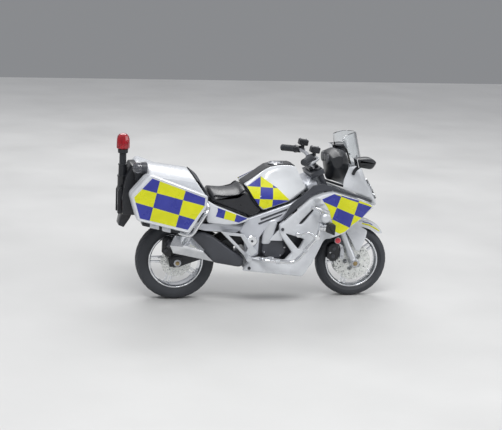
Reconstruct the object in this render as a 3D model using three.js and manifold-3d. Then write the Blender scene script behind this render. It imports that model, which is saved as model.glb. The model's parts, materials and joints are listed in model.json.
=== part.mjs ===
// Scale model of a fully faired police touring motorcycle with panniers, a radio box and a beacon mast.
// Millimetres, +X forward, +Y to the rider's left, +Z up. The pieces are placed in the bike's own frame,
// with the rear axle over x = 0 and the ground at z = 0, and the whole group is then moved so that the
// middle of its length lies over the origin.
import * as THREE from "three";
import { mergeVertices } from "three/addons/utils/BufferGeometryUtils.js";
import Module from "manifold-3d";

const wasm = await Module();
wasm.setup();

// Driving dimensions
const WHEELBASE = 85.8; // a 1545 mm wheelbase at 1:18
const MID_LENGTH = 37.35; // x of the middle of the whole model, in the bike's own frame
const GAP = 0.3; // left between pieces that touch
const FACETS = 32; // sides of a wheel; one of them faces straight down
const REAR = { radius: 18.5, half: 5.05, crown: 2.4, rimHalf: 4.1, bead: 13.4 };
const FRONT = { radius: 17.3, half: 3.6, crown: 1.7, rimHalf: 2.7, bead: 13.4 };
const RIM_RADIUS = 13.0;
const RIM_INNER = 11.7;
const HUB_RADIUS = 2.7;
const AXLE_RADIUS = 1.0;
const RUNNING_FIT = 0.07; // radial clearance of a shaft in its bore
const DISC = { thick: 0.6, rear: 7.4, front: 9, holes: 9, holeRadius: 0.55, holeInset: 1.6 };
const RAKE = THREE.MathUtils.degToRad(23.5); // of the fork from upright
const FORK_OFFSET = 2.6; // fork legs ahead of the steering axis
const LEG_Y = 6.6; // fork leg axes from the mid-plane
const BODY_HALF = 14; // half-width of the bodywork's inner faces
const PANNIER_IN = 15.3;
const PANNIER_OUT = 27;
const CELL = { radius: 5.8, thick: 5.4, pitch: 5.7, count: 3, x: 44.0, z: 24.5 }; // LR44 button cells

const rearAxle = new THREE.Vector3(0, 0, REAR.radius);
const frontAxle = new THREE.Vector3(WHEELBASE, 0, FRONT.radius);
const up = new THREE.Vector3(-Math.sin(RAKE), 0, Math.cos(RAKE)); // along the steering axis
const ahead = new THREE.Vector3(Math.cos(RAKE), 0, Math.sin(RAKE)); // square to it, forward
const steerBase = frontAxle.clone().addScaledVector(ahead, -FORK_OFFSET);

// ---- materials ----
const paint = (color, roughness, metalness) =>
  new THREE.MeshStandardMaterial({ color, roughness, metalness, flatShading: true });
const WHITE = paint(0xf2f3f2, 0.3, 0);
const BLACK = paint(0x17181b, 0.5, 0);
const DARK = paint(0x3a3d44, 0.5, 0.2);
const SEAT_BLACK = paint(0x1d1e20, 0.7, 0);
const RUBBER = paint(0x26282c, 0.85, 0);
const CHROME = paint(0xd8dade, 0.12, 1);
const SILVER = paint(0xb4b8bf, 0.35, 0.9);
const ENGINE = paint(0x44474d, 0.45, 0.5);
const RED = paint(0xc3122c, 0.15, 0);
const CLEAR = paint(0xe6eef2, 0.05, 0);
const BOARD = paint(0x1f6b3a, 0.5, 0);

// ---- solids ----
const solid = (geometry) => {
  const bare = geometry.index ? geometry.toNonIndexed() : geometry.clone();
  bare.deleteAttribute("normal");
  bare.deleteAttribute("uv");
  const merged = mergeVertices(bare, 1e-4);
  return new wasm.Manifold(
    new wasm.Mesh({
      numProp: 3,
      vertProperties: merged.attributes.position.array,
      triVerts: new Uint32Array(merged.index.array),
    }),
  );
};
const join = (...list) => list.reduce((sum, one) => sum.add(one));
const cut = (from, ...list) => list.reduce((rest, one) => rest.subtract(one), from);

const geometryOf = (made) => {
  const data = made.getMesh();
  const geometry = new THREE.BufferGeometry();
  geometry.setAttribute("position", new THREE.BufferAttribute(new Float32Array(data.vertProperties), 3));
  geometry.setIndex(new THREE.BufferAttribute(new Uint32Array(data.triVerts), 1));
  return geometry.toNonIndexed();
};

// A solid through matching side outlines ([x, z] points) at stated y, from right to left. A section's y
// can also be a function of x and z. The ExtrudeGeometry gives the skin, and its rings are then placed.
const loft = (...sections) => {
  const rings = sections.reverse();
  const base = rings[0][1];
  const shape = new THREE.Shape(base.map(([x, z]) => new THREE.Vector2(x, z)));
  const steps = rings.length - 1;
  const geometry = new THREE.ExtrudeGeometry(shape, { depth: steps, steps, bevelEnabled: false });
  const at = geometry.attributes.position;
  for (let i = 0; i < at.count; i++) {
    const nearest = (best, [x, z], k) =>
      Math.hypot(x - at.getX(i), z - at.getY(i)) < best.d
        ? { k, d: Math.hypot(x - at.getX(i), z - at.getY(i)) }
        : best;
    const { k } = base.reduce(nearest, { k: 0, d: Infinity });
    const [y, outline] = rings[Math.round(at.getZ(i))];
    const [x, z] = outline[k];
    at.setXYZ(i, x, typeof y === "function" ? y(x, z) : y, z);
  }
  return solid(geometry);
};
const slab = (outline, y0, y1) => loft([y0, outline], [y1, outline]);

// An outline moved inwards by d along the bisector of each corner.
const inset = (outline, d) => {
  const turn = Math.sign(THREE.ShapeUtils.area(outline.map(([x, y]) => ({ x, y }))));
  return outline.map(([x, z], i) => {
    const before = outline.at(i - 1);
    const after = outline[(i + 1) % outline.length];
    const a = new THREE.Vector2(x - before[0], z - before[1]).normalize();
    const b = new THREE.Vector2(after[0] - x, after[1] - z).normalize();
    const normal = new THREE.Vector2(-(a.y + b.y), a.x + b.x).normalize();
    const stretch = Math.max(0.5, normal.dot(new THREE.Vector2(-a.y, a.x)));
    return [x + (turn * d * normal.x) / stretch, z + (turn * d * normal.y) / stretch];
  });
};
// An outline a share t of the way from one outline to another.
const between = (first, second, t) =>
  first.map(([x, z], i) => [x * (1 - t) + second[i][0] * t, z * (1 - t) + second[i][1] * t]);
// A solid that is arched from side to side: one outline in the middle, another at its two ends.
const arched = (middle, end, half) => {
  const sections = [];
  const count = 6;
  for (let i = -count; i <= count; i++) {
    const t = i / count;
    sections.push([t * half, between(middle, end, t * t)]);
  }
  return loft(...sections);
};
// A plate whose edges are chamfered on both faces.
const plate = (outline, y0, y1, bevel) =>
  loft([y0, inset(outline, bevel)], [y0 + bevel, outline], [y1 - bevel, outline],
    [y1, inset(outline, bevel)]);
// A plate whose outer (right) edges only are chamfered.
const cover = (outline, outer, inner, bevel) =>
  loft([-outer, inset(outline, bevel)], [-outer + bevel, outline], [-inner, outline]);

const box = (x0, x1, y0, y1, z0, z1) =>
  solid(new THREE.BoxGeometry(x1 - x0, y1 - y0, z1 - z0).translate((x0 + x1) / 2, (y0 + y1) / 2,
    (z0 + z1) / 2));

// A turned solid about the line from a to b; its profile is [distance along, radius].
const turned = (profile, a, b, sides = 16) => {
  const axis = b.clone().sub(a).normalize();
  const points = profile.map(([along, r]) => new THREE.Vector2(r, along));
  const geometry = new THREE.LatheGeometry(points, sides);
  geometry.applyQuaternion(new THREE.Quaternion().setFromUnitVectors(new THREE.Vector3(0, 1, 0), axis));
  geometry.translate(a.x, a.y, a.z);
  return solid(geometry);
};
const rod = (a, b, radius, sides = 12) => {
  const length = b.distanceTo(a);
  return turned([[0, 0], [0, radius], [length, radius], [length, 0]], a, b, sides);
};
const V = (x, y, z) => new THREE.Vector3(x, y, z);
const alongY = (x, z, y0, y1, radius, sides = 16) => rod(V(x, y0, z), V(x, y1, z), radius, sides);
// A bent bar through points, with round bends.
const bar = (points, radius, sides = 8) => {
  const section = new THREE.Shape();
  section.absarc(0, 0, radius, 0, 2 * Math.PI);
  const extrudePath = new THREE.CatmullRomCurve3(points, false, "catmullrom", 0.25);
  const steps = 3 * (points.length - 1);
  return solid(new THREE.ExtrudeGeometry(section, { extrudePath, steps, curveSegments: sides / 2 }));
};
// A point on the fork: along the steering axis, ahead of it, and to the left.
const onFork = (s, forward, left) =>
  steerBase.clone().addScaledVector(up, s).addScaledVector(ahead, forward).add(V(0, left, 0));
// A block in the fork's own directions.
const forkBlock = (s0, s1, f0, f1, l0, l1) => {
  const geometry = new THREE.BoxGeometry(f1 - f0, l1 - l0, s1 - s0);
  geometry.translate((f0 + f1) / 2, (l0 + l1) / 2, (s0 + s1) / 2);
  geometry.rotateY(-RAKE);
  geometry.translate(steerBase.x, steerBase.y, steerBase.z);
  return solid(geometry);
};

const group = new THREE.Group();
group.position.x = -MID_LENGTH;
const add = (name, made, material) => {
  const mesh = new THREE.Mesh(geometryOf(made), material);
  mesh.name = name;
  group.add(mesh);
};
// A right-hand piece and its mirror image on the left.
const addPair = (name, made, material) => {
  add(name + "_right", made, material);
  const left = new THREE.Mesh(geometryOf(made), material);
  left.name = name + "_left";
  left.scale.y = -1;
  group.add(left);
};
const mirror = (made) => made.mirror([0, 1, 0]);

// ---- wheels ----
const flatToVertex = 1 / Math.cos(Math.PI / FACETS); // so that a facet, not a corner, lies at the radius
// A ring about a wheel's axle with a closed [radius, y] profile, one facet straight down.
const wheelRing = (profile, axle, sides = FACETS) => {
  const closed = [...profile, profile[0]];
  const points = closed.map(([r, y]) => new THREE.Vector2(r * flatToVertex, y));
  const geometry = new THREE.LatheGeometry(points, sides, Math.PI / sides);
  geometry.translate(axle.x, axle.y, axle.z);
  return solid(geometry);
};
const tyre = (size, axle) => {
  const { radius, half, crown, bead } = size;
  const side = [
    [bead, half - 0.9],
    [bead + 1.2, half - 0.15],
    [bead + 2.2, half],
    [radius - 1.1, half - 0.6],
    [radius - 0.35, (half + crown) / 2],
    [radius, crown],
  ];
  const other = side.map(([r, y]) => [r, -y]).reverse();
  return wheelRing([...other, ...side].reverse(), axle);
};
const SPOKES = 5;
const SPOKE_SPREAD = THREE.MathUtils.degToRad(11);
const rim = (size, axle) => {
  const w = size.rimHalf;
  const barrel = wheelRing(
    [[RIM_RADIUS, -w], [RIM_RADIUS, w], [RIM_INNER + 0.5, w], [RIM_INNER, w - 0.7], [RIM_INNER, 0.7 - w],
      [RIM_INNER + 0.5, -w]],
    axle,
  );
  const hub = alongY(axle.x, axle.z, -w + 0.4, w - 0.4, HUB_RADIUS, 20);
  const spokes = [];
  for (let i = 0; i < SPOKES; i++) {
    for (const side of [-1, 1]) {
      const angle = Math.PI + (i * 2 * Math.PI) / SPOKES + side * SPOKE_SPREAD;
      const spoke = new THREE.BoxGeometry(RIM_INNER - HUB_RADIUS + 1.2, 1.7, 1.05);
      spoke.translate((RIM_INNER + HUB_RADIUS) / 2, 0, side * 0.35).rotateY(-angle);
      spokes.push(solid(spoke.translate(axle.x, 0, axle.z)));
    }
  }
  const bore = (AXLE_RADIUS + RUNNING_FIT) / Math.cos(Math.PI / 24);
  return cut(join(barrel, hub, ...spokes), alongY(axle.x, axle.z, -12, 12, bore, 24));
};
const disc = (axle, y, radius) => {
  const flat = cut(
    alongY(axle.x, axle.z, y, y + DISC.thick, radius, 28),
    alongY(axle.x, axle.z, y - 1, y + 2, AXLE_RADIUS + GAP, 16),
  );
  const holes = [];
  const r = radius - DISC.holeInset;
  for (let i = 0; i < DISC.holes; i++) {
    const angle = (i * 2 * Math.PI) / DISC.holes;
    const x = axle.x + r * Math.cos(angle);
    const z = axle.z + r * Math.sin(angle);
    holes.push(alongY(x, z, y - 1, y + 2, DISC.holeRadius, 6));
  }
  return cut(flat, ...holes);
};
add("rear_tyre", tyre(REAR, rearAxle), RUBBER);
add("rear_rim", rim(REAR, rearAxle), CHROME);
add("rear_disc", disc(rearAxle, -REAR.rimHalf - DISC.thick - GAP, DISC.rear), SILVER);
add("front_tyre", tyre(FRONT, frontAxle), RUBBER);
add("front_rim", rim(FRONT, frontAxle), CHROME);
add("front_disc_right", disc(frontAxle, -FRONT.rimHalf - DISC.thick - GAP, DISC.front), SILVER);
add("front_disc_left", disc(frontAxle, FRONT.rimHalf + GAP, DISC.front), SILVER);
const FRONT_AXLE_HALF = 9.2;
const REAR_AXLE_HALF = 8.9;
const axlePin = (at, half) =>
  turned(
    [[0, 0], [0, 1.7], [0.7, 1.7], [0.7, AXLE_RADIUS], [2 * half - 0.7, AXLE_RADIUS],
      [2 * half - 0.7, 1.7], [2 * half, 1.7], [2 * half, 0]],
    V(at.x, -half, at.z),
    V(at.x, half, at.z),
    24,
  );
add("front_axle", axlePin(frontAxle, FRONT_AXLE_HALF), SILVER);
add("rear_axle", axlePin(rearAxle, REAR_AXLE_HALF), SILVER);

// ---- fork and steering ----
const LEG_LOW = 1.75;
const LEG_HIGH = 1.3;
const LEG_TOP = 50;
const STEM_RADIUS = 1.2;
const forkLeg = () => {
  const foot = onFork(0, FORK_OFFSET, -LEG_Y);
  const top = onFork(LEG_TOP, FORK_OFFSET, -LEG_Y);
  const tube = turned([[-2.6, 0], [-2.6, 1.1], [-1.6, LEG_LOW], [17, LEG_LOW], [17.8, LEG_HIGH],
    [LEG_TOP, LEG_HIGH], [LEG_TOP, 0]], foot, top, 14);
  const caliper = plate([[73.6, 18.2], [73.9, 26.2], [75.4, 27.4], [79.4, 27.0], [82.6, 22.5],
    [82.8, 20.2], [79.8, 17.8]], -6.7, -4.0, 0.5);
  const bracket = slab([[76.0, 26.6], [76.6, 29.6], [79.0, 29.6], [82.0, 25.0]], -6.3, -5.2);
  const bore = alongY(frontAxle.x, frontAxle.z, -12, 0, AXLE_RADIUS + GAP, 16);
  const reflector = alongY(77.0, 28.4, -7.9, -5.8, 1.6, 16);
  return cut(join(tube, caliper, bracket, reflector), bore);
};
addPair("fork_leg", forkLeg(), SILVER);

const CLAMP = { low: [35.6, 38.2], high: [46.8, 49.2], back: -2.0, front: 4.6, side: 8.7 };
const clampPlate = ([s0, s1]) => {
  const flat = forkBlock(s0, s1, CLAMP.back, CLAMP.front, -CLAMP.side, CLAMP.side);
  const holes = [-LEG_Y, LEG_Y].map((y) =>
    rod(onFork(s0 - 1, FORK_OFFSET, y), onFork(s1 + 1, FORK_OFFSET, y), LEG_HIGH + GAP, 14));
  return cut(flat, ...holes);
};
const stem = rod(onFork(CLAMP.low[0], 0, 0), onFork(CLAMP.high[1], 0, 0), STEM_RADIUS, 20);
add("triple_clamp", join(clampPlate(CLAMP.low), clampPlate(CLAMP.high), stem), DARK);

// One handlebar half: from its seat on the upper clamp out and back to the grip, with its levers and tank.
const BAR_RADIUS = 0.95;
const GRIP_RADIUS = 1.55;
const barHalf = () => {
  const seat = onFork(50.6, 1.2, -3.2);
  const rise = V(64.3, -6.4, 67.2);
  const gripStart = V(61.8, -10.6, 69.2);
  const gripEnd = V(55.7, -20.5, 68.4);
  const tube = bar([seat, rise, gripStart, gripEnd], BAR_RADIUS);
  const towards = gripEnd.clone().sub(gripStart);
  const at = (t) => gripStart.clone().addScaledVector(towards, t);
  const grip = rod(at(0.3), at(1.02), GRIP_RADIUS, 12);
  const switches = rod(at(0.08), at(0.26), 2.1, 10);
  const tank = box(60.4, 64.8, -13.2, -9.2, 71.6, 74.2);
  const neck = box(61.4, 63.4, -12.2, -10.4, 69.0, 72.0);
  const leverStart = at(0.15).add(V(1.8, 0, 0));
  const leverBend = at(0.3).add(V(4.6, 0, -0.3));
  const leverEnd = at(0.98).add(V(3.6, 0, -0.5));
  const lever = bar([leverStart, leverBend, leverEnd], 0.6, 6);
  return join(tube, grip, switches, tank, neck, lever);
};
const barBridge = forkBlock(49.55, 51.2, -1.2, 3.4, -4.6, 4.6);
add("handlebar", join(barBridge, barHalf(), mirror(barHalf())), BLACK);

const FENDER_HALF = 4.55;
const fenderShape = () => {
  const side = [[100.4, 32.0], [97.6, 34.9], [92.6, 37.4], [86.4, 38.0], [80.4, 36.4], [75.2, 33.0],
    [74.0, 30.6], [77.4, 31.2]];
  const low = side.map(([x, z]) => [x, Math.max(z - 0.9, 30.6)]);
  const shell = loft([-FENDER_HALF, low], [-2.4, side], [2.4, side], [FENDER_HALF, low]);
  const flap = cover([[81.9, 32.4], [84.7, 26.2], [86.4, 22.9], [87.8, 22.8], [91.2, 31.6]], 7.6, 3.95, 0.5);
  const hollow = alongY(frontAxle.x, frontAxle.z, -3.95, 3.95, FRONT.radius + 0.9, 40);
  return cut(join(shell, flap, mirror(flap)), hollow);
};
add("front_fender", fenderShape(), WHITE);

// ---- frame, swingarm and engine ----
const headBore = (STEM_RADIUS + RUNNING_FIT) / Math.cos(Math.PI / 20);
const PIVOT = { x: 33.9, z: 30.0 };
const mainFrame = () => {
  const spar = plate(
    [[31.3, 40.4], [51.5, 47.4], [60.0, 52.2], [66.2, 56.2], [68.6, 55.4], [66.4, 50.6], [50.7, 40.6],
      [44.7, 38.2], [39.8, 35.0], [37.6, 31.5], [37.2, 23.4], [33.0, 21.0], [30.8, 24.0], [30.4, 30.0],
      [28.0, 34.6]],
    -13.6, -11.3, 0.4,
  );
  const slots = [
    slab([[37.6, 40.6], [50.6, 45.4], [50.0, 44.0], [37.8, 39.4]], -14, -13.0),
    slab([[36.6, 38.4], [48.4, 42.8], [47.2, 41.4], [37.0, 37.4]], -14, -13.0),
  ];
  const rail = slab([[31.0, 39.9], [30.0, 36.0], [26.4, 33.8], [12.0, 34.8], [-17.6, 41.6], [-17.4, 43.9],
    [12.0, 37.9]], -12.9, -11.3);
  const side = join(cut(spar, ...slots), rail);
  const crossings = [
    box(32.2, 35.4, -12, 12, 22.4, 25.0),
    box(29.4, 33.4, -12, 12, 36.6, 39.6),
  ];
  const neck = forkBlock(39.2, 45.8, -6.0, -1.4, -12.2, 12.2);
  const head = rod(onFork(38.6, 0, 0), onFork(46.4, 0, 0), 2.9, 20);
  const bore = rod(onFork(30, 0, 0), onFork(56, 0, 0), headBore, 20);
  const pivotBore = alongY(PIVOT.x, PIVOT.z, -16, 16, 1.5, 16);
  return cut(join(side, mirror(side), ...crossings, neck, head), bore, pivotBore);
};
add("main_frame", mainFrame(), SILVER);

const ARM_Y = [5.9, 8.0];
const swingarm = () => {
  const blade = plate(
    [[-3.4, 16.6], [-4.2, 20.6], [-1.0, 22.9], [8.0, 22.6], [27.6, 32.2], [34.0, 32.4], [36.2, 30.0],
      [34.0, 27.6], [28.0, 26.6], [10.6, 19.8], [4.0, 17.6], [0.8, 16.3]],
    -ARM_Y[1], -ARM_Y[0], 0.4,
  );
  const tube = alongY(PIVOT.x, PIVOT.z, -10.9, 10.9, 2.1, 16);
  const bridge = box(24.6, 29.4, -7, 7, 27.6, 30.4);
  const bore = alongY(0, REAR.radius, -12, 12, AXLE_RADIUS + GAP, 16);
  const pin = alongY(PIVOT.x, PIVOT.z, -13.9, 13.9, 1.15, 16);
  const caliper = plate(
    [[-7.2, 23.6], [-7.0, 29.6], [-5.4, 31.0], [-1.0, 30.4], [-0.8, 25.8], [-2.6, 24.4], [-2.4, 21.2],
      [-5.0, 21.4]],
    -8.0, -5.5, 0.5,
  );
  return cut(join(blade, mirror(blade), tube, bridge, pin, caliper), bore);
};
add("swingarm", swingarm(), BLACK);

const engineBlock = () => {
  const outline = [[37.6, 18.4], [37.6, 34.6], [44.0, 37.2], [50.4, 39.8], [58.6, 42.0], [60.0, 22.0],
    [56.6, 16.6]];
  const crankcase = slab(outline, -10.9, 10.9);
  const radiator = slab([[59.0, 23.6], [62.8, 23.6], [65.6, 43.6], [59.0, 43.6]], -12.4, 12.4);
  const cells = box(37.9, 50.1, -9.3, 9.3, 10, 30.6);
  return cut(join(crankcase, radiator), cells);
};
add("engine_block", engineBlock(), ENGINE);
const engineCover = cover([[38.8, 24.0], [39.2, 31.0], [42.2, 34.6], [46.4, 34.4], [49.2, 30.4],
  [50.6, 24.2], [47.0, 20.6], [41.0, 21.0]], 13.4, 11.2, 0.8);
addPair("engine_cover", engineCover, SILVER);
for (let i = 0; i < CELL.count; i++) {
  const y = (i - (CELL.count - 1) / 2) * CELL.pitch - CELL.thick / 2;
  add("button_cell_" + (i + 1), alongY(CELL.x, CELL.z, y, y + CELL.thick, CELL.radius, 20), CHROME);
}

// ---- bodywork ----
const tankCut = join(
  forkBlock(33, 60, -7.0, 14, -10.2, 10.2),
  forkBlock(38.6, 46.4, -6.6, 14, -12.6, 12.6),
);
const BUTTON = { x: 47.0, radius: 2.6, pin: 1.0, low: 55.5, capLow: 5.9, capHigh: 9.5 };
const fuelTank = () => {
  const low = [[64.0, 56.0], [56.2, 51.7], [51.5, 48.2], [38.6, 44.0]];
  const crown = [[31.4, 55.8], [35.0, 58.2], [39.0, 61.4], [42.0, 63.2], [47.6, 64.4], [53.9, 64.2],
    [59.4, 62.2], [65.8, 57.2], ...low];
  const flank = [[32.4, 53.0], [35.0, 53.6], [39.0, 54.0], [42.0, 54.2], [47.6, 54.4], [53.9, 54.6],
    [58.4, 54.8], [61.4, 55.4], ...low];
  // The share of the way from crown to flank that the outline has gone at each y.
  const slopes = [[0, 5.5], [0.12, 7.8], [0.35, 9.6], [0.65, 11.6], [1, BODY_HALF]];
  const half = slopes.map(([share, y]) => [y, between(crown, flank, share)]);
  const shell = loft(...half.map(([y, outline]) => [-y, outline]).reverse(), ...half);
  const hollow = box(38.0, 52.6, -9.4, 9.4, 40, 55.6);
  const well = rod(V(BUTTON.x, 0, 60), V(BUTTON.x, 0, 70), BUTTON.radius + GAP, 24);
  const wellPin = rod(V(BUTTON.x, 0, 50), V(BUTTON.x, 0, 70), BUTTON.pin + GAP, 16);
  return cut(shell, tankCut, hollow, well, wellPin);
};
add("fuel_tank", fuelTank(), WHITE);
const button = () => {
  const { pin, radius, capLow, capHigh } = BUTTON;
  const profile = [[0, 0], [0, pin], [capLow, pin], [capLow, radius], [capHigh - 0.6, radius],
    [capHigh, radius - 0.6], [capHigh, 0]];
  return turned(profile, V(BUTTON.x, 0, BUTTON.low), V(BUTTON.x, 0, 66), 24);
};
add("sound_button", button(), SILVER);
const speaker = rod(V(45.3, 0, 49.4), V(45.3, 0, 52.4), 6.8, 24);
const board = box(38.4, 52.2, -9.0, 9.0, 52.0, 53.2);
add("sound_unit", join(speaker, board), BOARD);

const seatShape = () => {
  const middle = [[14.2, 49.4], [15.0, 53.2], [21.4, 52.8], [27.2, 53.0], [30.1, 55.2], [31.2, 54.2],
    [38.0, 43.8], [33.4, 41.3], [16.5, 47.8]];
  const edge = [[14.6, 48.8], [16.2, 50.8], [21.4, 50.2], [27.2, 50.8], [30.0, 53.4], [31.0, 52.8],
    [37.6, 43.9], [33.4, 41.5], [16.8, 47.8]];
  return arched(middle, edge, 12.9);
};
add("seat", seatShape(), SEAT_BLACK);
const sideCover = cover([[12.4, 49.4], [16.2, 47.0], [31.2, 41.0], [30.6, 39.6], [23.2, 37.8],
  [12.8, 38.9], [12.2, 40.0]], 14.9, 13.2, 0.4);
addPair("side_cover", sideCover, WHITE);

// Outer and inner faces of the fairing sides: widest over the front panel, drawn in towards the nose.
const fairingOut = (x, z) => {
  const shoulder = THREE.MathUtils.smoothstep(x, 58, 70) * THREE.MathUtils.smoothstep(z, 28, 38);
  const nose = THREE.MathUtils.smoothstep(x, 76, 93);
  return -(16.4 + 2.6 * shoulder - 5.6 * nose);
};
const fairingIn = (x) => -(BODY_HALF - 2.3 * THREE.MathUtils.smoothstep(x, 76, 93));
const fairingOutline = [
  [46.4, 37.9], [61.3, 50.8], [66.0, 52.7], [71.2, 53.6], [76.1, 52.2], [84.0, 49.6], [90.9, 46.9],
  [91.3, 45.6], [85.9, 40.7], [79.8, 37.0], [77.0, 34.2], [72.4, 32.6], [68.0, 30.8], [63.2, 20.4],
  [58.2, 13.2], [44.0, 14.8], [29.7, 16.4], [33.2, 22.0], [36.4, 22.6], [49.6, 21.0], [52.9, 24.6],
  [46.6, 33.4],
];
const fairing = () => {
  const inner = inset(fairingOutline, 0.1);
  const skin = loft(
    [fairingOut, inset(fairingOutline, 0.7)],
    [(x, z) => fairingOut(x, z) + 0.8, fairingOutline],
    [(x) => fairingIn(x), inner],
  );
  const triangle = slab([[49.2, 33.8], [58.4, 31.0], [55.9, 26.2]], -22, -10);
  const slot = slab([[55.6, 38.5], [56.8, 39.6], [64.0, 47.2], [62.6, 46.6]], -22, -16.0);
  return cut(skin, triangle, slot);
};
addPair("fairing", fairing(), WHITE);
const innerPanel = () => {
  const outline = [[52.0, 47.5], [56.4, 51.0], [61.8, 56.2], [66.4, 57.2], [76.9, 53.5], [84.6, 51.2],
    [91.3, 48.7], [91.2, 47.5], [84.2, 50.1], [76.2, 52.7], [71.2, 54.1], [65.8, 53.2], [61.0, 51.3],
    [46.8, 39.1], [48.6, 41.3]];
  return loft([(x) => fairingIn(x) - 1.0, outline], [(x) => fairingIn(x), outline]);
};
addPair("inner_panel", innerPanel(), DARK);

const frontCowl = () => {
  const side = [[79.6, 65.2], [84.6, 62.0], [86.2, 58.0], [89.8, 53.3], [91.6, 51.0], [91.9, 49.6],
    [88.0, 50.8], [83.0, 52.3], [77.0, 54.2], [77.0, 58.0]];
  const middle = [[84.2, 64.9], [87.4, 63.4], [89.6, 58.0], [92.6, 52.8], [95.2, 46.8], [95.6, 44.8],
    [93.2, 44.8], [89.8, 48.4], [85.6, 55.4], [83.2, 60.0]];
  const near = between(middle, side, 0.45);
  return loft([-12.2, side], [-10.2, near], [-6.2, middle], [6.2, middle], [10.2, near], [12.2, side]);
};
const lampOutline = [[90.0, 58.2], [92.9, 53.2], [95.0, 48.8], [92.6, 48.2], [89.0, 55.6]];
const lampRoom = slab(inset(lampOutline, -GAP), -8.4, 8.4);
add("front_cowl", cut(frontCowl(), lampRoom), WHITE);
add("headlamp_lens", plate(lampOutline, -8.0, 8.0, 0.5), CLEAR);
const dash = join(
  slab([[72.8, 58.4], [71.2, 64.8], [71.4, 69.6], [75.6, 72.2], [80.4, 70.4], [82.4, 65.5], [82.0, 60.6],
    [79.0, 57.6]], -5.6, 5.6),
  plate([[71.2, 65.4], [71.4, 69.6], [75.6, 72.2], [76.6, 70.8], [76.2, 65.4]], -10.0, 10.0, 0.6),
);
add("instrument_panel", dash, BLACK);

// The windscreen: an upright arc in plan, leaned back and narrowed towards its top.
const SCREEN = { low: 65.9, high: 79.6, thick: 0.9, half: 12.0, depth: 8.0, nose: 88.4 };
const windscreen = () => {
  const arc = (shrink) => {
    const points = [];
    const steps = 12;
    for (let i = 0; i <= steps; i++) {
      const t = -1 + (2 * i) / steps;
      points.push(new THREE.Vector2(SCREEN.nose - shrink - SCREEN.depth * t * t, t * (SCREEN.half - shrink)));
    }
    return points;
  };
  const shape = new THREE.Shape([...arc(0), ...arc(SCREEN.thick).reverse()]);
  const height = SCREEN.high - SCREEN.low;
  const geometry = new THREE.ExtrudeGeometry(shape, { depth: height, steps: 4, bevelEnabled: false });
  const at = geometry.attributes.position;
  for (let i = 0; i < at.count; i++) {
    const t = at.getZ(i) / height;
    const y = at.getY(i) * (1 - 0.3 * t * t);
    at.setXYZ(i, at.getX(i) - 3.2 * t, y, SCREEN.low + at.getZ(i));
  }
  const corner = slab([[66, 90], [66, 76.0], [79.0, 79.0], [84.0, 79.7], [84.0, 90]], -20, 20);
  return cut(solid(geometry), corner);
};
add("windscreen", windscreen(), CLEAR);
const mirrorHead = () => {
  const shell = plate([[80.6, 66.6], [79.4, 70.4], [86.4, 70.6], [89.4, 69.0], [87.0, 65.2]],
    -26.4, -18.4, 1.2);
  const stalk = bar([V(83.6, -19, 67.4), V(83.2, -14.0, 64.8), V(81.6, -13.5, 61.4)], 0.9);
  return join(shell, stalk);
};
addPair("mirror", mirrorHead(), BLACK);

const BELLY_HALF = 13.7;
const bellyPan = () => {
  const tray = slab([[30.4, 16.9], [58.2, 13.7], [62.8, 20.4], [61.0, 21.2], [57.0, 15.6], [31.6, 18.3]],
    -BELLY_HALF, BELLY_HALF);
  return cut(tray, box(36.6, 51.4, -9.9, 9.9, 8, 24));
};
add("belly_pan", bellyPan(), WHITE);
add("battery_cover", slab([[36.9, 16.15], [51.1, 14.53], [51.1, 16.2], [36.9, 17.8]], -9.6, 9.6), DARK);

// ---- luggage, radio box and tail ----
const PANNIER_RIM = 1.3;
const pannier = () => {
  const face = [[-15.6, 61.9], [8.3, 52.9], [8.0, 49.3], [1.2, 38.6], [-20.6, 43.9], [-23.4, 53.5]];
  const rim = inset(face, -PANNIER_RIM);
  const inner = [[-17.0, 62.6], [9.8, 53.2], [10.6, 49.6], [2.4, 37.4], [-21.6, 42.6], [-24.8, 53.6]];
  const half = between(rim, inner, 0.5);
  return loft([-PANNIER_OUT, face], [-25.3, rim], [-19.0, half], [-PANNIER_IN, inner]);
};
const pannierFoot = slab([[-18.6, 41.4], [-0.6, 37.1], [-1.0, 35.3], [-18.4, 39.4]], -21.6, -16.2);
addPair("pannier", pannier(), WHITE);
const guard = bar(
  [V(11.6, -15.6, 48.6), V(11.4, -22.4, 47.4), V(9.7, -24.2, 45.4), V(4.1, -24.2, 35.6),
    V(2.5, -23.4, 34.4), V(-1.4, -22.0, 35.4), V(-1.6, -14.6, 36.0)],
  0.8,
);
addPair("pannier_guard", join(guard, pannierFoot), CHROME);

const BOX_HALF = 14.9;
const radioBox = () => {
  const middle = [[-18.6, 45.6], [-18.6, 62.6], [-15.6, 65.0], [4.6, 62.2], [11.8, 51.0], [11.8, 44.6]];
  const end = [[-18.6, 45.6], [-18.6, 59.4], [-15.8, 61.2], [6.6, 58.0], [12.0, 50.2], [11.8, 44.6]];
  const hollow = slab([[-16.4, 30], [-16.4, 59.0], [0.6, 56.6], [8.4, 48.6], [8.4, 30]], -12.4, 12.4);
  return cut(arched(middle, end, BOX_HALF), hollow);
};
add("radio_box", radioBox(), WHITE);
const boxTrim = arched(
  [[5.0, 62.3], [8.6, 59.6], [11.0, 55.4], [13.4, 50.6], [12.3, 50.9]],
  [[7.2, 58.4], [9.0, 57.4], [11.4, 54.0], [13.4, 50.9], [12.6, 50.4]],
  13.4,
);
add("radio_box_trim", boxTrim, BLACK);
const rearFender = () => {
  const arch = slab([[-18.4, 40.9], [-18.6, 45.2], [11.6, 44.2], [29.0, 41.2], [29.0, 37.6], [24.0, 31.4],
    [22.4, 32.6]], -10.6, 10.6);
  return cut(arch, alongY(0, REAR.radius, -20, 20, REAR.radius + 2.2, 32));
};
add("rear_fender", rearFender(), BLACK);
const MAST = { x: -25.3, low: 44.6, tall: 26.2, room: 2.4 + GAP };
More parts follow.
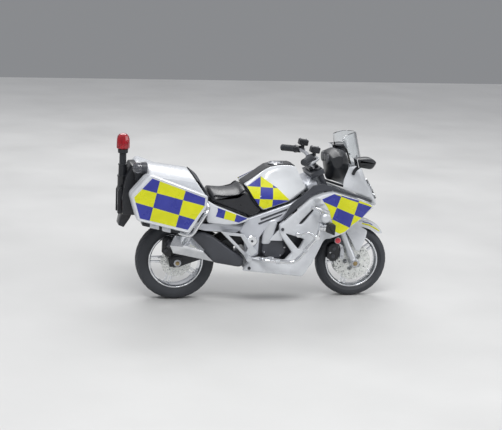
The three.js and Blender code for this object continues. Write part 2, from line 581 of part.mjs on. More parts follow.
const LAMP = { back: -24.9, front: -24.2, half: 7.9, low: 43.3, high: 47.9 };
const mastRoom = rod(V(MAST.x, 0, MAST.low - GAP), V(MAST.x, 0, 80), MAST.room / Math.cos(Math.PI / 16), 16);
const tailUnit = () => {
  const body = plate([[-19.0, 45.4], [-19.0, 64.4], [-21.9, 64.3], [-24.5, 58.7], [-26.2, 50.0],
    [-26.0, 41.6], [-20.5, 41.5], [-19.0, 43.4]], -9.2, 9.2, 0.6);
  const tongue = slab([[-25.4, 42.2], [-20.9, 42.2], [-22.2, 39.0], [-24.9, 35.0], [-27.2, 35.9],
    [-26.6, 38.8]], -4.6, 4.6);
  const lampRoom = box(-30, LAMP.front + GAP, -LAMP.half - GAP, LAMP.half + GAP, LAMP.low - GAP,
    LAMP.high + GAP);
  return cut(join(body, tongue), mastRoom, lampRoom);
};
add("tail_unit", tailUnit(), BLACK);
// The lamp sits at the bottom of a recess on both sides of the mast; a strip below the mast joins its halves.
const lampBar = cut(box(LAMP.back, LAMP.front, -LAMP.half, LAMP.half, LAMP.low, LAMP.high), mastRoom);
add("tail_lamp", lampBar, RED);
const mastProfile = [[0, 0], [0, 2.4], [14.0, 2.3], [14.0, 2.0], [19.2, 1.9], [19.2, 1.6], [24.4, 1.6],
  [24.4, 2.3], [MAST.tall, 2.4], [MAST.tall, 0]];
add("beacon_mast", turned(mastProfile, V(MAST.x, 0, MAST.low), V(MAST.x, 0, 80), 20), BLACK);
const lensProfile = [[0, 0], [0, 3.0], [1.4, 3.1], [4.4, 3.0], [5.9, 2.5], [6.7, 1.5], [7.0, 0]];
add("beacon_lens", turned(lensProfile, V(MAST.x, 0, MAST.low + MAST.tall + GAP), V(MAST.x, 0, 80), 12), RED);

// ---- fittings ----
const exhaust = () => {
  const can = [[-4.9, 30.9], [-1.9, 33.5], [6.4, 32.6], [15.7, 20.6], [-1.3, 25.2], [-4.6, 27.0]];
  const muffler = loft([-16.6, inset(can, 2.3)], [-14.4, can], [-10.2, can], [-8.4, inset(can, 1.8)]);
  const shield = [[5.0, 31.6], [9.4, 34.4], [15.4, 32.4], [24.4, 25.8], [30.2, 22.2], [30.2, 18.6],
    [28.6, 17.4], [16.0, 19.8], [14.0, 20.8]];
  return join(muffler, cover(shield, 14.2, 9.0, 0.9));
};
addPair("exhaust", exhaust(), CHROME);
const footrest = () => {
  const sides = plate([[18.6, 34.9], [24.6, 34.2], [29.6, 33.6], [36.2, 25.2], [34.6, 23.4], [31.0, 22.4]],
    -15.9, -14.5, 0.3);
  const opening = slab([[22.4, 33.2], [28.2, 32.6], [31.8, 26.8], [30.6, 24.8]], -20, -10);
  const peg = rod(V(31.4, -15.2, 23.6), V(30.8, -23.0, 23.4), 1.2, 8);
  return join(cut(sides, opening), peg);
};
addPair("footrest_bracket", footrest(), SILVER);
const crashBar = bar(
  [V(60.6, -18.2, 46.6), V(64.0, -21.4, 46.2), V(64.9, -22.0, 43.8), V(63.4, -22.0, 34.0),
    V(54.2, -21.8, 22.8), V(52.0, -21.4, 21.2), V(38.6, -20.6, 22.2), V(37.6, -17.2, 22.2)],
  0.85,
);
const branch = bar([V(62.0, -22.0, 32.4), V(55.6, -19.6, 34.2)], 0.7);
addPair("crash_bar", join(crashBar, branch), CHROME);
const siren = () => {
  const horn = turned([[0, 0], [0, 2.4], [4.4, 2.6], [6.4, 1.6], [7.0, 0]],
    V(65.7, -24.4, 40.6), V(73.0, -24.8, 40.6), 12);
  const speakerBox = plate([[65.8, 34.0], [66.0, 38.4], [71.6, 38.4], [71.8, 34.2]], -26.2, -20.6, 0.6);
  const arm = box(66.4, 68.4, -24.4, -20.8, 37.8, 39.6);
  return join(horn, speakerBox, arm);
};
add("siren_right", siren(), CHROME);

// Side stand, folded back under the left side; it swings down and outwards.
const STAND = { pivot: V(31.0, 18.6, 17.0), leg: V(-15.6, 0.6, -2.0) };
const standTip = STAND.pivot.clone().add(STAND.leg);
const standAxis = V(0.028, -0.895, -0.446).normalize();
const onStandAxis = (along) => STAND.pivot.clone().addScaledVector(standAxis, along);
const stand = join(
  rod(onStandAxis(-1.2), onStandAxis(1.2), 1.5, 12),
  rod(STAND.pivot, standTip, 0.8, 8),
  rod(standTip, standTip.clone().add(V(-1.6, 0.4, 0.2)), 1.3, 8),
);
add("side_stand", stand, BLACK);

export default group;
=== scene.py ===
"""The looks of a 1:18 die-cast and plastic model of a fully faired police touring motorcycle.

Places and sizes are millimetres in the bike's own frame: the rear axle over x = 0, the ground at z = 0,
+X forward, +Y to the rider's left, +Z up. A shape is a pair (points, faces) in that frame, and put() makes
it an object. An outline is a list of (x, z). Right-hand pieces are described, and left ones mirror them.
"""
import json
import math
from collections import Counter

import bmesh
import bpy
from mathutils import Matrix, Vector
from mathutils.geometry import delaunay_2d_cdt


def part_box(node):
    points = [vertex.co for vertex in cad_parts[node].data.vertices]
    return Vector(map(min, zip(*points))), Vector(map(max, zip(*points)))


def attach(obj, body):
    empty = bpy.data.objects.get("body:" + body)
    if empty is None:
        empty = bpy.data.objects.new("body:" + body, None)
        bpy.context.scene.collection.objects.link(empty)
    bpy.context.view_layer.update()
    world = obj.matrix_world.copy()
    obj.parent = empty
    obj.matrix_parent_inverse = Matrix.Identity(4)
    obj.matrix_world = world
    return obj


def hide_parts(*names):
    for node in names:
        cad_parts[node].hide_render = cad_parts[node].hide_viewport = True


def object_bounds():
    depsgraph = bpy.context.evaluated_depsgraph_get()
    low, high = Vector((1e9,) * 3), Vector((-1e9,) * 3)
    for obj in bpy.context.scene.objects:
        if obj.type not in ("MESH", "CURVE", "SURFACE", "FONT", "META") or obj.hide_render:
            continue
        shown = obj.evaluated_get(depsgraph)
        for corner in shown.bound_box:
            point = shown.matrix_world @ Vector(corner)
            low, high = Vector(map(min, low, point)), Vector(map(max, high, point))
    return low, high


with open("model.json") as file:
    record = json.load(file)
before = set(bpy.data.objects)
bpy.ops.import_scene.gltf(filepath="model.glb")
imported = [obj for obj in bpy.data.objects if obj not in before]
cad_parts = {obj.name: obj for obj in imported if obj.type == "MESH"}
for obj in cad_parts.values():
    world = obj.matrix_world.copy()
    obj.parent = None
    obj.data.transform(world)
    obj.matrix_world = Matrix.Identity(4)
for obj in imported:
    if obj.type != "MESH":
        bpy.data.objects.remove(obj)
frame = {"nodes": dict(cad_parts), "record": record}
cad_low, cad_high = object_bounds()

MM = 0.001
tyre_low, tyre_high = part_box("rear_tyre")
REAR_X = (tyre_low.x + tyre_high.x) / 2 / MM  # of the rear axle, in the part's own frame

WHEELBASE = 85.8
REAR = {"x": 0.0, "radius": 18.5, "half": 5.05, "crown": 2.4, "rim": 4.1}
FRONT = {"x": WHEELBASE, "radius": 17.3, "half": 3.6, "crown": 1.7, "rim": 2.7}
BEAD = 13.4
RAKE = math.radians(23.5)
FORK_OFFSET = 2.6
LEG_Y = 6.6
PRINT = 0.07  # height of a printed decal above its panel
PRINT_SUNK = 0.05  # depth of its back below the panel's face
DECAL_STEP = 2  # between the lines that let a decal follow a curved panel


# ---- finishes ----
def surface(name, dark, light, roughness, patch=8.0, grain=0.6, relief=0.01, cells=False, **fixed):
    """A finish that drifts in patches and has a fine grain; patch, grain and relief are in mm."""
    material = bpy.data.materials.new(name)
    material.use_nodes = True
    tree = material.node_tree
    shader = tree.nodes["Principled BSDF"]
    for socket, value in fixed.items():
        shader.inputs[socket.replace("_", " ")].default_value = value
    place = tree.nodes.new("ShaderNodeTexCoord").outputs["Object"]

    def texture(kind, size):
        made = tree.nodes.new(kind)
        made.inputs["Scale"].default_value = 1 / (size * MM)
        tree.links.new(place, made.inputs["Vector"])
        return made

    patches = texture("ShaderNodeTexNoise", patch)
    patches.inputs["Detail"].default_value = 5
    ramp = tree.nodes.new("ShaderNodeValToRGB")
    for stop, position, color in zip(ramp.color_ramp.elements, (0.3, 0.7), (dark, light)):
        stop.position = position
        stop.color = (*color, 1)
    tree.links.new(patches.outputs["Fac"], ramp.inputs["Fac"])
    tree.links.new(ramp.outputs["Color"], shader.inputs["Base Color"])
    gloss = tree.nodes.new("ShaderNodeMapRange")
    for socket, value in zip(("From Min", "From Max", "To Min", "To Max"), (0.3, 0.7, *roughness)):
        gloss.inputs[socket].default_value = value
    tree.links.new(patches.outputs["Fac"], gloss.inputs["Value"])
    tree.links.new(gloss.outputs["Result"], shader.inputs["Roughness"])
    fine = texture("ShaderNodeTexVoronoi" if cells else "ShaderNodeTexNoise", grain)
    bump = tree.nodes.new("ShaderNodeBump")
    bump.inputs["Distance"].default_value = relief * MM
    tree.links.new(fine.outputs["Distance" if cells else "Fac"], bump.inputs["Height"])
    tree.links.new(bump.outputs["Normal"], shader.inputs["Normal"])
    return material


LOOKS = {
    "white_plastic": (
        (0.62, 0.64, 0.67), (0.69, 0.71, 0.74), (0.20, 0.32), dict(relief=0.004, Coat_Weight=0.3)),
    "white_metal": (
        (0.64, 0.66, 0.68), (0.71, 0.73, 0.75), (0.16, 0.26), dict(relief=0.003, Coat_Weight=0.5)),
    "silver_metal": ((0.52, 0.54, 0.58), (0.64, 0.66, 0.71), (0.30, 0.42), dict(grain=0.25, Metallic=0.45)),
    "silver_plastic": ((0.56, 0.58, 0.61), (0.70, 0.72, 0.75), (0.26, 0.38), dict(grain=0.25, Metallic=0.55)),
    "black_plastic": (
        (0.010, 0.011, 0.014), (0.020, 0.022, 0.027), (0.28, 0.42), dict(grain=0.3, relief=0.008)),
    "dark_plastic": (
        (0.040, 0.043, 0.052), (0.062, 0.066, 0.078), (0.32, 0.46), dict(grain=0.3, relief=0.008)),
    "seat_plastic": (
        (0.010, 0.011, 0.014), (0.022, 0.023, 0.028), (0.22, 0.36),
        dict(grain=0.45, relief=0.02, cells=True)),
    "tyre_rubber": (
        (0.028, 0.031, 0.037), (0.046, 0.050, 0.058), (0.50, 0.68), dict(grain=0.2, relief=0.012)),
    "chrome_plastic": (
        (0.70, 0.72, 0.75), (0.84, 0.85, 0.87), (0.07, 0.17),
        dict(patch=3, grain=1.4, relief=0.008, Metallic=1.0)),
    "steel": (
        (0.45, 0.46, 0.49), (0.58, 0.59, 0.62), (0.22, 0.34), dict(grain=0.2, relief=0.01, Metallic=0.9)),
    "silver_button": ((0.50, 0.51, 0.54), (0.60, 0.61, 0.63), (0.2, 0.3), dict(grain=0.2, Metallic=0.7)),
    "red_lens": (
        (0.30, 0.003, 0.010), (0.52, 0.008, 0.020), (0.05, 0.12),
        dict(patch=2, grain=0.9, relief=0.03, cells=True, Transmission_Weight=0.25, Coat_Weight=0.5)),
    "clear_plastic": (
        (0.90, 0.93, 0.95), (0.96, 0.98, 0.99), (0.02, 0.06),
        dict(grain=2.0, relief=0.004, Transmission_Weight=1.0, IOR=1.49)),
    "circuit": ((0.01, 0.10, 0.04), (0.02, 0.16, 0.06), (0.3, 0.5), dict(grain=0.4)),
}
FINISH = {name: surface(name, *colors, **rest) for name, (*colors, rest) in LOOKS.items()}
YELLOW = surface(
    "decal_yellow", (0.60, 0.62, 0.002), (0.72, 0.72, 0.004), (0.22, 0.34), grain=0.35, relief=0.004,
    cells=True)
BLUE = surface(
    "decal_blue", (0.020, 0.028, 0.26), (0.040, 0.050, 0.34), (0.22, 0.34), grain=0.35, relief=0.004,
    cells=True)
SMOKE = surface(
    "smoked_lens", (0.10, 0.105, 0.12), (0.22, 0.225, 0.25), (0.04, 0.1), patch=2, grain=0.6,
    Transmission_Weight=0.45, Coat_Weight=0.5)
BRASS = surface(
    "brass", (0.30, 0.22, 0.11), (0.48, 0.38, 0.20), (0.25, 0.4), patch=2, grain=0.2, Metallic=0.8)
DISC = surface(
    "disc_steel", (0.66, 0.68, 0.66), (0.84, 0.85, 0.83), (0.22, 0.36), patch=2, grain=0.12, Metallic=0.5)
REFLEX = surface(
    "reflex_red", (0.66, 0.045, 0.070), (0.80, 0.080, 0.105), (0.1, 0.2), patch=1.5, grain=0.3, cells=True)
FLOOR = surface("floor", (0.60, 0.60, 0.59), (0.66, 0.66, 0.65), (0.5, 0.7), patch=60, grain=3, relief=0.02)

# Material slots
WHITE = "white_plastic"
SILVER = "silver_plastic"
BLACK = "black_plastic"
DARK = "dark_plastic"
CHROME = "chrome_plastic"


# ---- objects ----
def put(name, shape, slot, body="chassis", finish=None, crease=34, bevel=0.0, instead=()):
    """Makes an object of one or more shapes that rides on a body and can stand for solid nodes."""
    points, faces = joined(*shape) if isinstance(shape, list) else shape
    mesh = bpy.data.meshes.new(name)
    mesh.from_pydata([((x + REAR_X) * MM, y * MM, z * MM) for x, y, z in points], [], faces)
    work = bmesh.new()
    work.from_mesh(mesh)
    bmesh.ops.remove_doubles(work, verts=work.verts, dist=1e-4 * MM)
    bmesh.ops.recalc_face_normals(work, faces=work.faces)
    work.to_mesh(mesh)
    work.free()
    mesh.shade_smooth()
    mesh.set_sharp_from_angle(angle=math.radians(crease))
    mesh.materials.append(finish or FINISH[slot])
    piece = bpy.data.objects.new(name, mesh)
    bpy.context.scene.collection.objects.link(piece)
    if bevel:
        soften(piece, bevel)
    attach(piece, body)
    if instead:
        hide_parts(*instead)
    return piece


def soften(piece, width):
    """Rounds the edges of a piece off, so that they catch the light."""
    rounding = piece.modifiers.new("rounding", "BEVEL")
    rounding.width = width * MM
    rounding.segments = 2
    rounding.limit_method = "ANGLE"
    rounding.angle_limit = math.radians(38)
    rounding.harden_normals = True


def mirrored(shape):
    points, faces = shape
    return [(x, -y, z) for x, y, z in points], [face[::-1] for face in faces]


def put_pair(name, shape, slot, body="chassis", instead=(), **options):
    """Puts a right-hand piece and its mirror image on the left."""
    whole = joined(*shape) if isinstance(shape, list) else shape
    for side, one in (("right", whole), ("left", mirrored(whole))):
        put(f"{name}_{side}", one, slot, body, instead=[f"{node}_{side}" for node in instead], **options)


def dress(node, width):
    """Gives a solid node its slot's finish and softened edges."""
    piece = frame["nodes"][node]
    slot = next(part["material_slot"] for part in frame["record"]["subparts"] if part["node"] == node)
    piece.data.materials.clear()
    piece.data.materials.append(FINISH[slot])
    piece.data.shade_smooth()
    piece.modifiers.new("weld", "WELD").merge_threshold = 1e-3 * MM
    soften(piece, width)


# ---- lines and outlines ----
BEND_STEPS = 5


def corner_arc(corner, arms, reach, steps):
    """The points of a rounded corner, from reach along its first arm to reach along its second."""
    first, last = (corner + arm.normalized() * min(reach, arm.length * 0.45) for arm in arms)
    parts = [i / steps for i in range(steps + 1)]
    return [first * (1 - t) ** 2 + corner * (2 * t * (1 - t)) + last * t**2 for t in parts]


def bent(points, bend):
    """A line through points with round corners."""
    stops = [Vector(point) for point in points]
    line = [stops[0]]
    for before, corner, after in zip(stops, stops[1:], stops[2:]):
        line += corner_arc(corner, (before - corner, after - corner), bend, BEND_STEPS)
    return line + [stops[-1]]


def rounded(outline, radius, steps=4):
    """An outline with round corners; a corner's third value is its own radius."""
    stops = [Vector(corner[:2]) for corner in outline]
    line = []
    for i, corner in enumerate(outline):
        arms = (stops[i - 1] - stops[i], stops[(i + 1) % len(stops)] - stops[i])
        line += corner_arc(stops[i], arms, corner[2] if len(corner) > 2 else radius, steps)
    return [tuple(point) for point in line]


def circle(x, z, radius, sides=32, wave=0.0, waves=0):
    """A ring of points, whose radius can wave in and out."""
    turns = [2 * math.pi * i / sides for i in range(sides)]
    radii = [radius + wave * math.cos(waves * turn) for turn in turns]
    return [(x + r * math.cos(turn), z + r * math.sin(turn)) for r, turn in zip(radii, turns)]


def divided(line, step, closed=True):
    """A line with points no further apart than step."""
    ends = line[1:] + line[:1] if closed else line[1:]
    points = []
    for (x0, z0), (x1, z1) in zip(line, ends):
        parts = max(1, math.ceil(math.hypot(x1 - x0, z1 - z0) / step))
        points += [(x0 + (x1 - x0) * i / parts, z0 + (z1 - z0) * i / parts) for i in range(parts)]
    return points if closed else points + [line[-1]]


def moved_in(outline, amount):
    """An outline moved inwards along the bisector of each corner, or outwards if amount is negative."""
    stops = [Vector(corner[:2]) for corner in outline]
    area = sum(a.x * b.y - b.x * a.y for a, b in zip(stops, stops[1:] + stops[:1]))
    made = []
    for i, here in enumerate(stops):
        a = (here - stops[i - 1]).normalized()
        b = (stops[(i + 1) % len(stops)] - here).normalized()
        normal = Vector((-(a.y + b.y), a.x + b.x)).normalized()
        stretch = max(0.5, normal.dot(Vector((-a.y, a.x))))
        made.append(tuple(here + normal * (math.copysign(1, area) * amount / stretch)))
    return made


def mixed(first, second, share):
    """An outline part of the way from one to another that has the same number of points."""
    return [(a + (c - a) * share, b + (d - b) * share) for (a, b, *_), (c, d, *_) in zip(first, second)]


def stretches(outline):
    stops = [Vector(point) for point in outline]
    return list(zip(stops, stops[1:] + stops[:1]))


def distance(lines, x, z):
    """From a place to the nearest of some straight stretches."""
    here = Vector((x, z))
    best = math.inf
    for a, b in lines:
        along = b - a
        share = max(0.0, min(1.0, (here - a).dot(along) / max(along.length_squared, 1e-9)))
        best = min(best, (here - a - along * share).length)
    return best


def inside(outline, x, z):
    found = False
    for (x0, z0), (x1, z1) in zip(outline, outline[1:] + outline[:1]):
        if (z0 > z) != (z1 > z) and x < x0 + (x1 - x0) * (z - z0) / (z1 - z0):
            found = not found
    return found


def smoothstep(value, low, high):
    t = max(0.0, min(1.0, (value - low) / (high - low)))
    return t * t * (3 - 2 * t)


# ---- shapes ----
def joined(*shapes):
    points, faces = [], []
    for more_points, more_faces in shapes:
        start = len(points)
        points += more_points
        faces += [[start + i for i in face] for face in more_faces]
    return points, faces


def skinned(rings, closed=False):
    """Faces between rings of points; a ring of one point is a pole, and open ends are capped."""
    points, numbered = [], []
    for ring in rings:
        numbered.append(list(range(len(points), len(points) + len(ring))))
        points += ring
    sides = max(len(ring) for ring in rings)
    faces = []
    for low, high in zip(numbered, numbered[1:] + numbered[:1] if closed else numbered[1:]):
        for i in range(sides):
            j = (i + 1) % sides
            corners = (low[i % len(low)], low[j % len(low)], high[j % len(high)], high[i % len(high)])
            faces.append(list(dict.fromkeys(corners)))
    if not closed:
        faces += [ring for ring in (numbered[0][::-1], numbered[-1]) if len(ring) > 2]
    return points, faces


def loft(*sections):
    """A solid through outlines at stated y, from one side to the other."""
    return skinned([[(x, y, z) for x, z in outline] for y, outline in sections])


def slab(outline, y0, y1):
    return loft((y0, outline), (y1, outline))


def arched(middle, end, half, radius, edge):
    """A solid that is arched from side to side, with a rounded edge at each end."""
    sections = [(-half, moved_in(rounded(end, radius), edge))]
    for i in range(-10, 11):
        share = i / 10
        sections.append((share * (half - edge * 0.7), rounded(mixed(middle, end, share * share), radius)))
    return loft(*sections, (half, moved_in(rounded(end, radius), edge)))


def turned(profile, start, end, sides=40):
    """A solid turned about the line from start to end; its profile holds (distance along, radius)."""
    start = Vector(start)
    axis = (Vector(end) - start).normalized()
    across = axis.orthogonal().normalized()
    rings = []
    for along, radius in profile:
        middle = start + axis * along
        turns = [2 * math.pi * i / sides for i in range(sides if radius > 0 else 1)]
        rings.append([tuple(middle + Matrix.Rotation(turn, 3, axis) @ across * radius) for turn in turns])
    return skinned(rings)


def knob(start, end, radius, edge=0.2, sides=24):
    """A short round rod with softened ends."""
    length = (Vector(end) - Vector(start)).length
    return turned([
        (0, 0), (0, radius - edge), (edge, radius), (length - edge, radius), (length, radius - edge),
        (length, 0)], start, end, sides)


def turned_across(profile, x, z, y0, y1, sides=40):
    return turned(profile, (x, y0, z), (x, y1, z), sides)


def pin(x, z, y0, y1, radius, edge=0.2, sides=24):
    """A knob that lies across the model."""
    return knob((x, y0, z), (x, y1, z), radius, edge, sides)


def bar(points, radius, bend=3.0, sides=14):
    """A round bar along a line with round bends."""
    line = bent(points, bend)
    heading = (line[1] - line[0]).normalized()
    side = heading.orthogonal().normalized()
    rings = [[tuple(line[0])]]
    for i, here in enumerate(line):
        heading = (line[min(i + 1, len(line) - 1)] - line[max(i - 1, 0)]).normalized()
        side = (side - heading * side.dot(heading)).normalized()
        turns = [2 * math.pi * k / sides for k in range(sides)]
        rings.append([tuple(here + Matrix.Rotation(turn, 3, heading) @ side * radius) for turn in turns])
    return skinned(rings + [[tuple(line[-1])]])


def wheel_ring(axle, profile, sides=96, dent=None):
    """A closed ring about an axle, of a (radius, y) profile that dent(turn, radius, y) sinks."""
    rings = []
    for i in range(sides):
        turn = 2 * math.pi * i / sides
        ring = []
        for radius, y in profile:
            r = radius - (dent(turn, radius, y) if dent else 0)
            ring.append((axle["x"] + r * math.sin(turn), y, axle["radius"] - r * math.cos(turn)))
        rings.append(ring)
    return skinned(rings, closed=True)


def filled(loops, step, rows):
    """Points and triangles that fill the first loop less the others, with rows of points along every edge."""
    outline, *holes = loops
    loops = [divided(loop, step * 0.6) for loop in loops]
    rim = [stretch for loop in loops for stretch in stretches(loop)]
    points, edges = [], []
    for loop in loops:
        start = len(points)
        edges += [(start + i, start + (i + 1) % len(loop)) for i in range(len(loop))]
        points += loop

    def within(x, z):
        return inside(outline, x, z) and not any(inside(hole, x, z) for hole in holes)

    for row in rows:
        for loop in loops:
            near = moved_in(loop, row) + moved_in(loop, -row)
            points += [p for p in near if within(*p) and distance(rim, *p) > 0.93 * row]
    xs, zs = zip(*outline)
    for i in range(math.ceil((max(xs) - min(xs)) / step)):
        for j in range(math.ceil((max(zs) - min(zs)) / step)):
            x = min(xs) + (i + 0.5) * step
            z = min(zs) + (j + 0.5) * step
            if within(x, z) and distance(rim, x, z) > rows[-1] + step * 0.45:
                points.append((x, z))
    corners, _, triangles, *_ = delaunay_2d_cdt([Vector(p) for p in points], edges, [], 0, 1e-4)
    kept = []
    for triangle in triangles:
        middle = sum((corners[i] for i in triangle), Vector((0, 0))) / 3
        if within(*middle):
            kept.append(list(triangle))
    return [tuple(p) for p in corners], kept, rim


def two_faced(flat, faces, front, back):
    """A solid between two faces y = front(x, z) and y = back(x, z) over a flat net of faces."""
    count = len(flat)
    points = [(x, front(x, z), z) for x, z in flat] + [(x, back(x, z), z) for x, z in flat]
    uses = Counter(frozenset((a, b)) for face in faces for a, b in zip(face, face[1:] + face[:1]))
    walls = [
        [b, a, a + count, b + count]
        for face in faces for a, b in zip(face, face[1:] + face[:1]) if uses[frozenset((a, b))] == 1]
    return points, faces + [[i + count for i in face][::-1] for face in faces] + walls


def level(value):
    return value if callable(value) else lambda x, z: value


def panel(outline, outer, inner, holes=(), step=1.4, edge=0.4, relief=None):
    """A right-hand panel whose outer face is rounded off near its rim, and which relief(x, z) raises."""
    flat, faces, rim = filled([outline, *holes], step, (edge * 0.12, edge * 0.45, edge))
    outer, inner = level(outer), level(inner)

    def front(x, z):
        near = min(distance(rim, x, z), edge)
        return outer(x, z) + edge - math.sqrt(edge**2 - (edge - near) ** 2) - (relief(x, z) if relief else 0)

    return two_faced(flat, faces, front, inner)


def carved(shape, *tools):
    """A shape less others."""
    for tool in tools:
        whole, cutter = (bpy.data.objects.new("work", bpy.data.meshes.new("work")) for _ in range(2))
        for piece, (points, faces) in ((whole, shape), (cutter, tool)):
            piece.data.from_pydata([tuple(p) for p in points], [], faces)
            work = bmesh.new()
            work.from_mesh(piece.data)
            bmesh.ops.remove_doubles(work, verts=work.verts, dist=1e-4)
            bmesh.ops.recalc_face_normals(work, faces=work.faces)
            work.to_mesh(piece.data)
            work.free()
            bpy.context.scene.collection.objects.link(piece)
        cut = whole.modifiers.new("cut", "BOOLEAN")
        cut.object = cutter
        cut.solver = "EXACT"
        bpy.context.view_layer.update()
        made = whole.evaluated_get(bpy.context.evaluated_depsgraph_get()).data
        shape = [tuple(v.co) for v in made.vertices], [list(face.vertices) for face in made.polygons]
        for piece in (whole, cutter):
            bpy.data.objects.remove(piece)
    return shape


def put_decal(name, outline, face, columns, rows, blue_first=True):
    """A checker print on a panel's face, cut by lines that each run through two points."""
    work = bmesh.new()
    work.faces.new([work.verts.new((x, z, 0)) for x, z in outline])
    xs, zs = zip(*outline)
    net = [((x, 0), (x, 1)) for x in range(math.ceil(min(xs)), math.ceil(max(xs)), DECAL_STEP)]
    net += [((0, z), (1, z)) for z in range(math.ceil(min(zs)), math.ceil(max(zs)), DECAL_STEP)]
    for (x0, z0), (x1, z1) in (*columns, *rows, *net):
        work.verts.ensure_lookup_table()
        bmesh.ops.bisect_plane(
            work, geom=work.verts[:] + work.edges[:] + work.faces[:], dist=1e-5,
            plane_co=(x0, z0, 0), plane_no=Vector((z0 - z1, x1 - x0, 0)).normalized())
    work.verts.index_update()
    flat = [(v.co.x, v.co.y) for v in work.verts]
    faces = [[v.index for v in one.verts] for one in work.faces]
    middles = [one.calc_center_median() for one in work.faces]
    work.free()

    def color(middle):
        past = sum((middle.x - x0) * (z1 - z0) > (middle.y - z0) * (x1 - x0)
                   for (x0, z0), (x1, z1) in (*columns, *rows))
        return (past + (0 if blue_first else 1)) % 2

    face = level(face)
    for side, turn in (("right", lambda shape: shape), ("left", mirrored)):
        for number, (tint, finish) in enumerate((("blue", BLUE), ("yellow", YELLOW))):
            some = [f for f, middle in zip(faces, middles) if color(middle) == number]
            shape = two_faced(
                flat, some, lambda x, z: face(x, z) - PRINT, lambda x, z: face(x, z) + PRINT_SUNK)
            put(f"{name}_{tint}_{side}", turn(shape), WHITE, finish=finish)


# ---- solid nodes that are kept, with the width of their softened edges ----
KEPT = {
    0.1: ("tail_lamp",),
    0.15: ("front_axle", "rear_axle", "triple_clamp", "belly_pan", "battery_cover", "sound_unit",
           "button_cell_1", "button_cell_2", "button_cell_3"),
    0.2: ("sound_button", "inner_panel_right", "inner_panel_left", "footrest_bracket_right",
          "footrest_bracket_left"),
    0.22: ("main_frame", "swingarm", "engine_block", "rear_fender", "side_stand"),
    0.3: ("tail_unit",),
}
for width, nodes in KEPT.items():
    for node in nodes:
        dress(node, width)


# ---- wheels ----
SPOKES = 5
TREADS = 30
TREAD_DEPTH = 0.28


def tyre(wheel):
    """A tyre whose shoulders have slanting grooves."""
    radius, half, crown = wheel["radius"], wheel["half"], wheel["crown"]
    corners = [(BEAD - 0.3, half - 1.0), (BEAD + 0.8, half - 0.25), (radius - 2.7, half),
               (radius - 0.7, (half + crown) / 2 + 0.4), (radius, crown), (radius, 0)]
    side = divided([tuple(point) for point in bent(corners, 1.4)], 0.55, closed=False)

    def dent(turn, r, y):
        place = (turn / (2 * math.pi) * TREADS + abs(y) * 0.3) % 1
        grooved = r > radius - 1.0 and abs(y) > 0.5 and abs(place - 0.5) < 0.15
        return TREAD_DEPTH if grooved else 0

    return wheel_ring(wheel, side + [(r, -y) for r, y in side[::-1]][1:], TREADS * 8, dent)


def rim(wheel):
    """A rim with rolled lips and five pairs of spokes, one pair pointing straight back."""
    w = wheel["rim"]
    lip = [
        (13.0, w - 0.15), (12.85, w), (12.4, w), (12.2, w - 0.2), (12.05, w - 0.8), (11.8, w - 1.1),
        (11.6, 0.4)]
    barrel = wheel_ring(wheel, lip + [(r, -y) for r, y in lip[::-1]])
    hub_side = [(0, 1.15), (0, 2.1), (0.3, 2.4), (1.0, 2.6), (w - 1.2, 2.7), (w - 0.9, 2.0), (w - 0.4, 1.9)]
    length = 2 * w - 0.8
    hub = turned(hub_side + [(length - along, r) for along, r in hub_side[::-1]],
                 (wheel["x"], 0.4 - w, wheel["radius"]), (wheel["x"], w, wheel["radius"]), 36)
    spokes = []
    for i in range(SPOKES):
        turn = math.pi + 2 * math.pi * i / SPOKES
        for side in (-1, 1):
            flat = [(2.3, side * 1.15 - 0.62), (11.8, side * 0.95 - 0.42), (11.8, side * 0.95 + 0.42),
                    (2.3, side * 1.15 + 0.62)]
            outline = [(wheel["x"] + r * math.cos(turn) - t * math.sin(turn),
                        wheel["radius"] + r * math.sin(turn) + t * math.cos(turn)) for r, t in flat]
            spokes.append(loft((-1.0, outline), (1.0, outline)))
    return joined(barrel, hub, *spokes)


def brake_disc(wheel, radius, outer):
    """A wavy drilled rotor on a pierced carrier."""
    x, z = wheel["x"], wheel["radius"]
    drilled = []
    for row, count in ((radius - 0.8, 20), (radius - 1.7, 20), (radius - 2.6, 14)):
        for i in range(count):
            turn = 2 * math.pi * (i + 0.5 * (row == radius - 1.7)) / count
            drilled.append(circle(x + row * math.cos(turn), z + row * math.sin(turn), 0.36, 8))
    middle = radius - 3.3
    rotor = panel(circle(x, z, radius - 0.08, 90, 0.12, 10), outer, outer + 0.6,
                  [circle(x, z, middle, 40), *drilled], edge=0.12)
    windows = [
        circle(x + 0.62 * middle * math.cos(turn), z + 0.62 * middle * math.sin(turn), middle * 0.2, 14)
        for turn in (2 * math.pi * (i + 0.5) / SPOKES for i in range(SPOKES))]
    carrier = panel(circle(x, z, middle + 0.25, 40), outer + 0.08, outer + 0.52,
                    [circle(x, z, 1.2, 20), *windows], edge=0.12)
    return joined(rotor, carrier)


put("rear_tyre_tread", tyre(REAR), "tyre_rubber", "rear_wheel", instead=["rear_tyre"])
put("front_tyre_tread", tyre(FRONT), "tyre_rubber", "front_wheel", instead=["front_tyre"])
put("rear_wheel_rim", rim(REAR), CHROME, "rear_wheel", bevel=0.15, instead=["rear_rim"])
put("front_wheel_rim", rim(FRONT), CHROME, "front_wheel", bevel=0.15, instead=["front_rim"])
put("rear_brake_disc", brake_disc(REAR, 7.3, -5.0), SILVER, "rear_wheel", finish=DISC, instead=["rear_disc"])
put_pair("front_brake_disc", brake_disc(FRONT, 9.0, -3.6), SILVER, "front_wheel", finish=DISC,
         instead=["front_disc"])


# ---- fork, front fender and steering ----
STEER_UP = Vector((-math.sin(RAKE), 0, math.cos(RAKE)))
STEER_AHEAD = Vector((math.cos(RAKE), 0, math.sin(RAKE)))
STEER_BASE = Vector((WHEELBASE, 0, FRONT["radius"])) - STEER_AHEAD * FORK_OFFSET


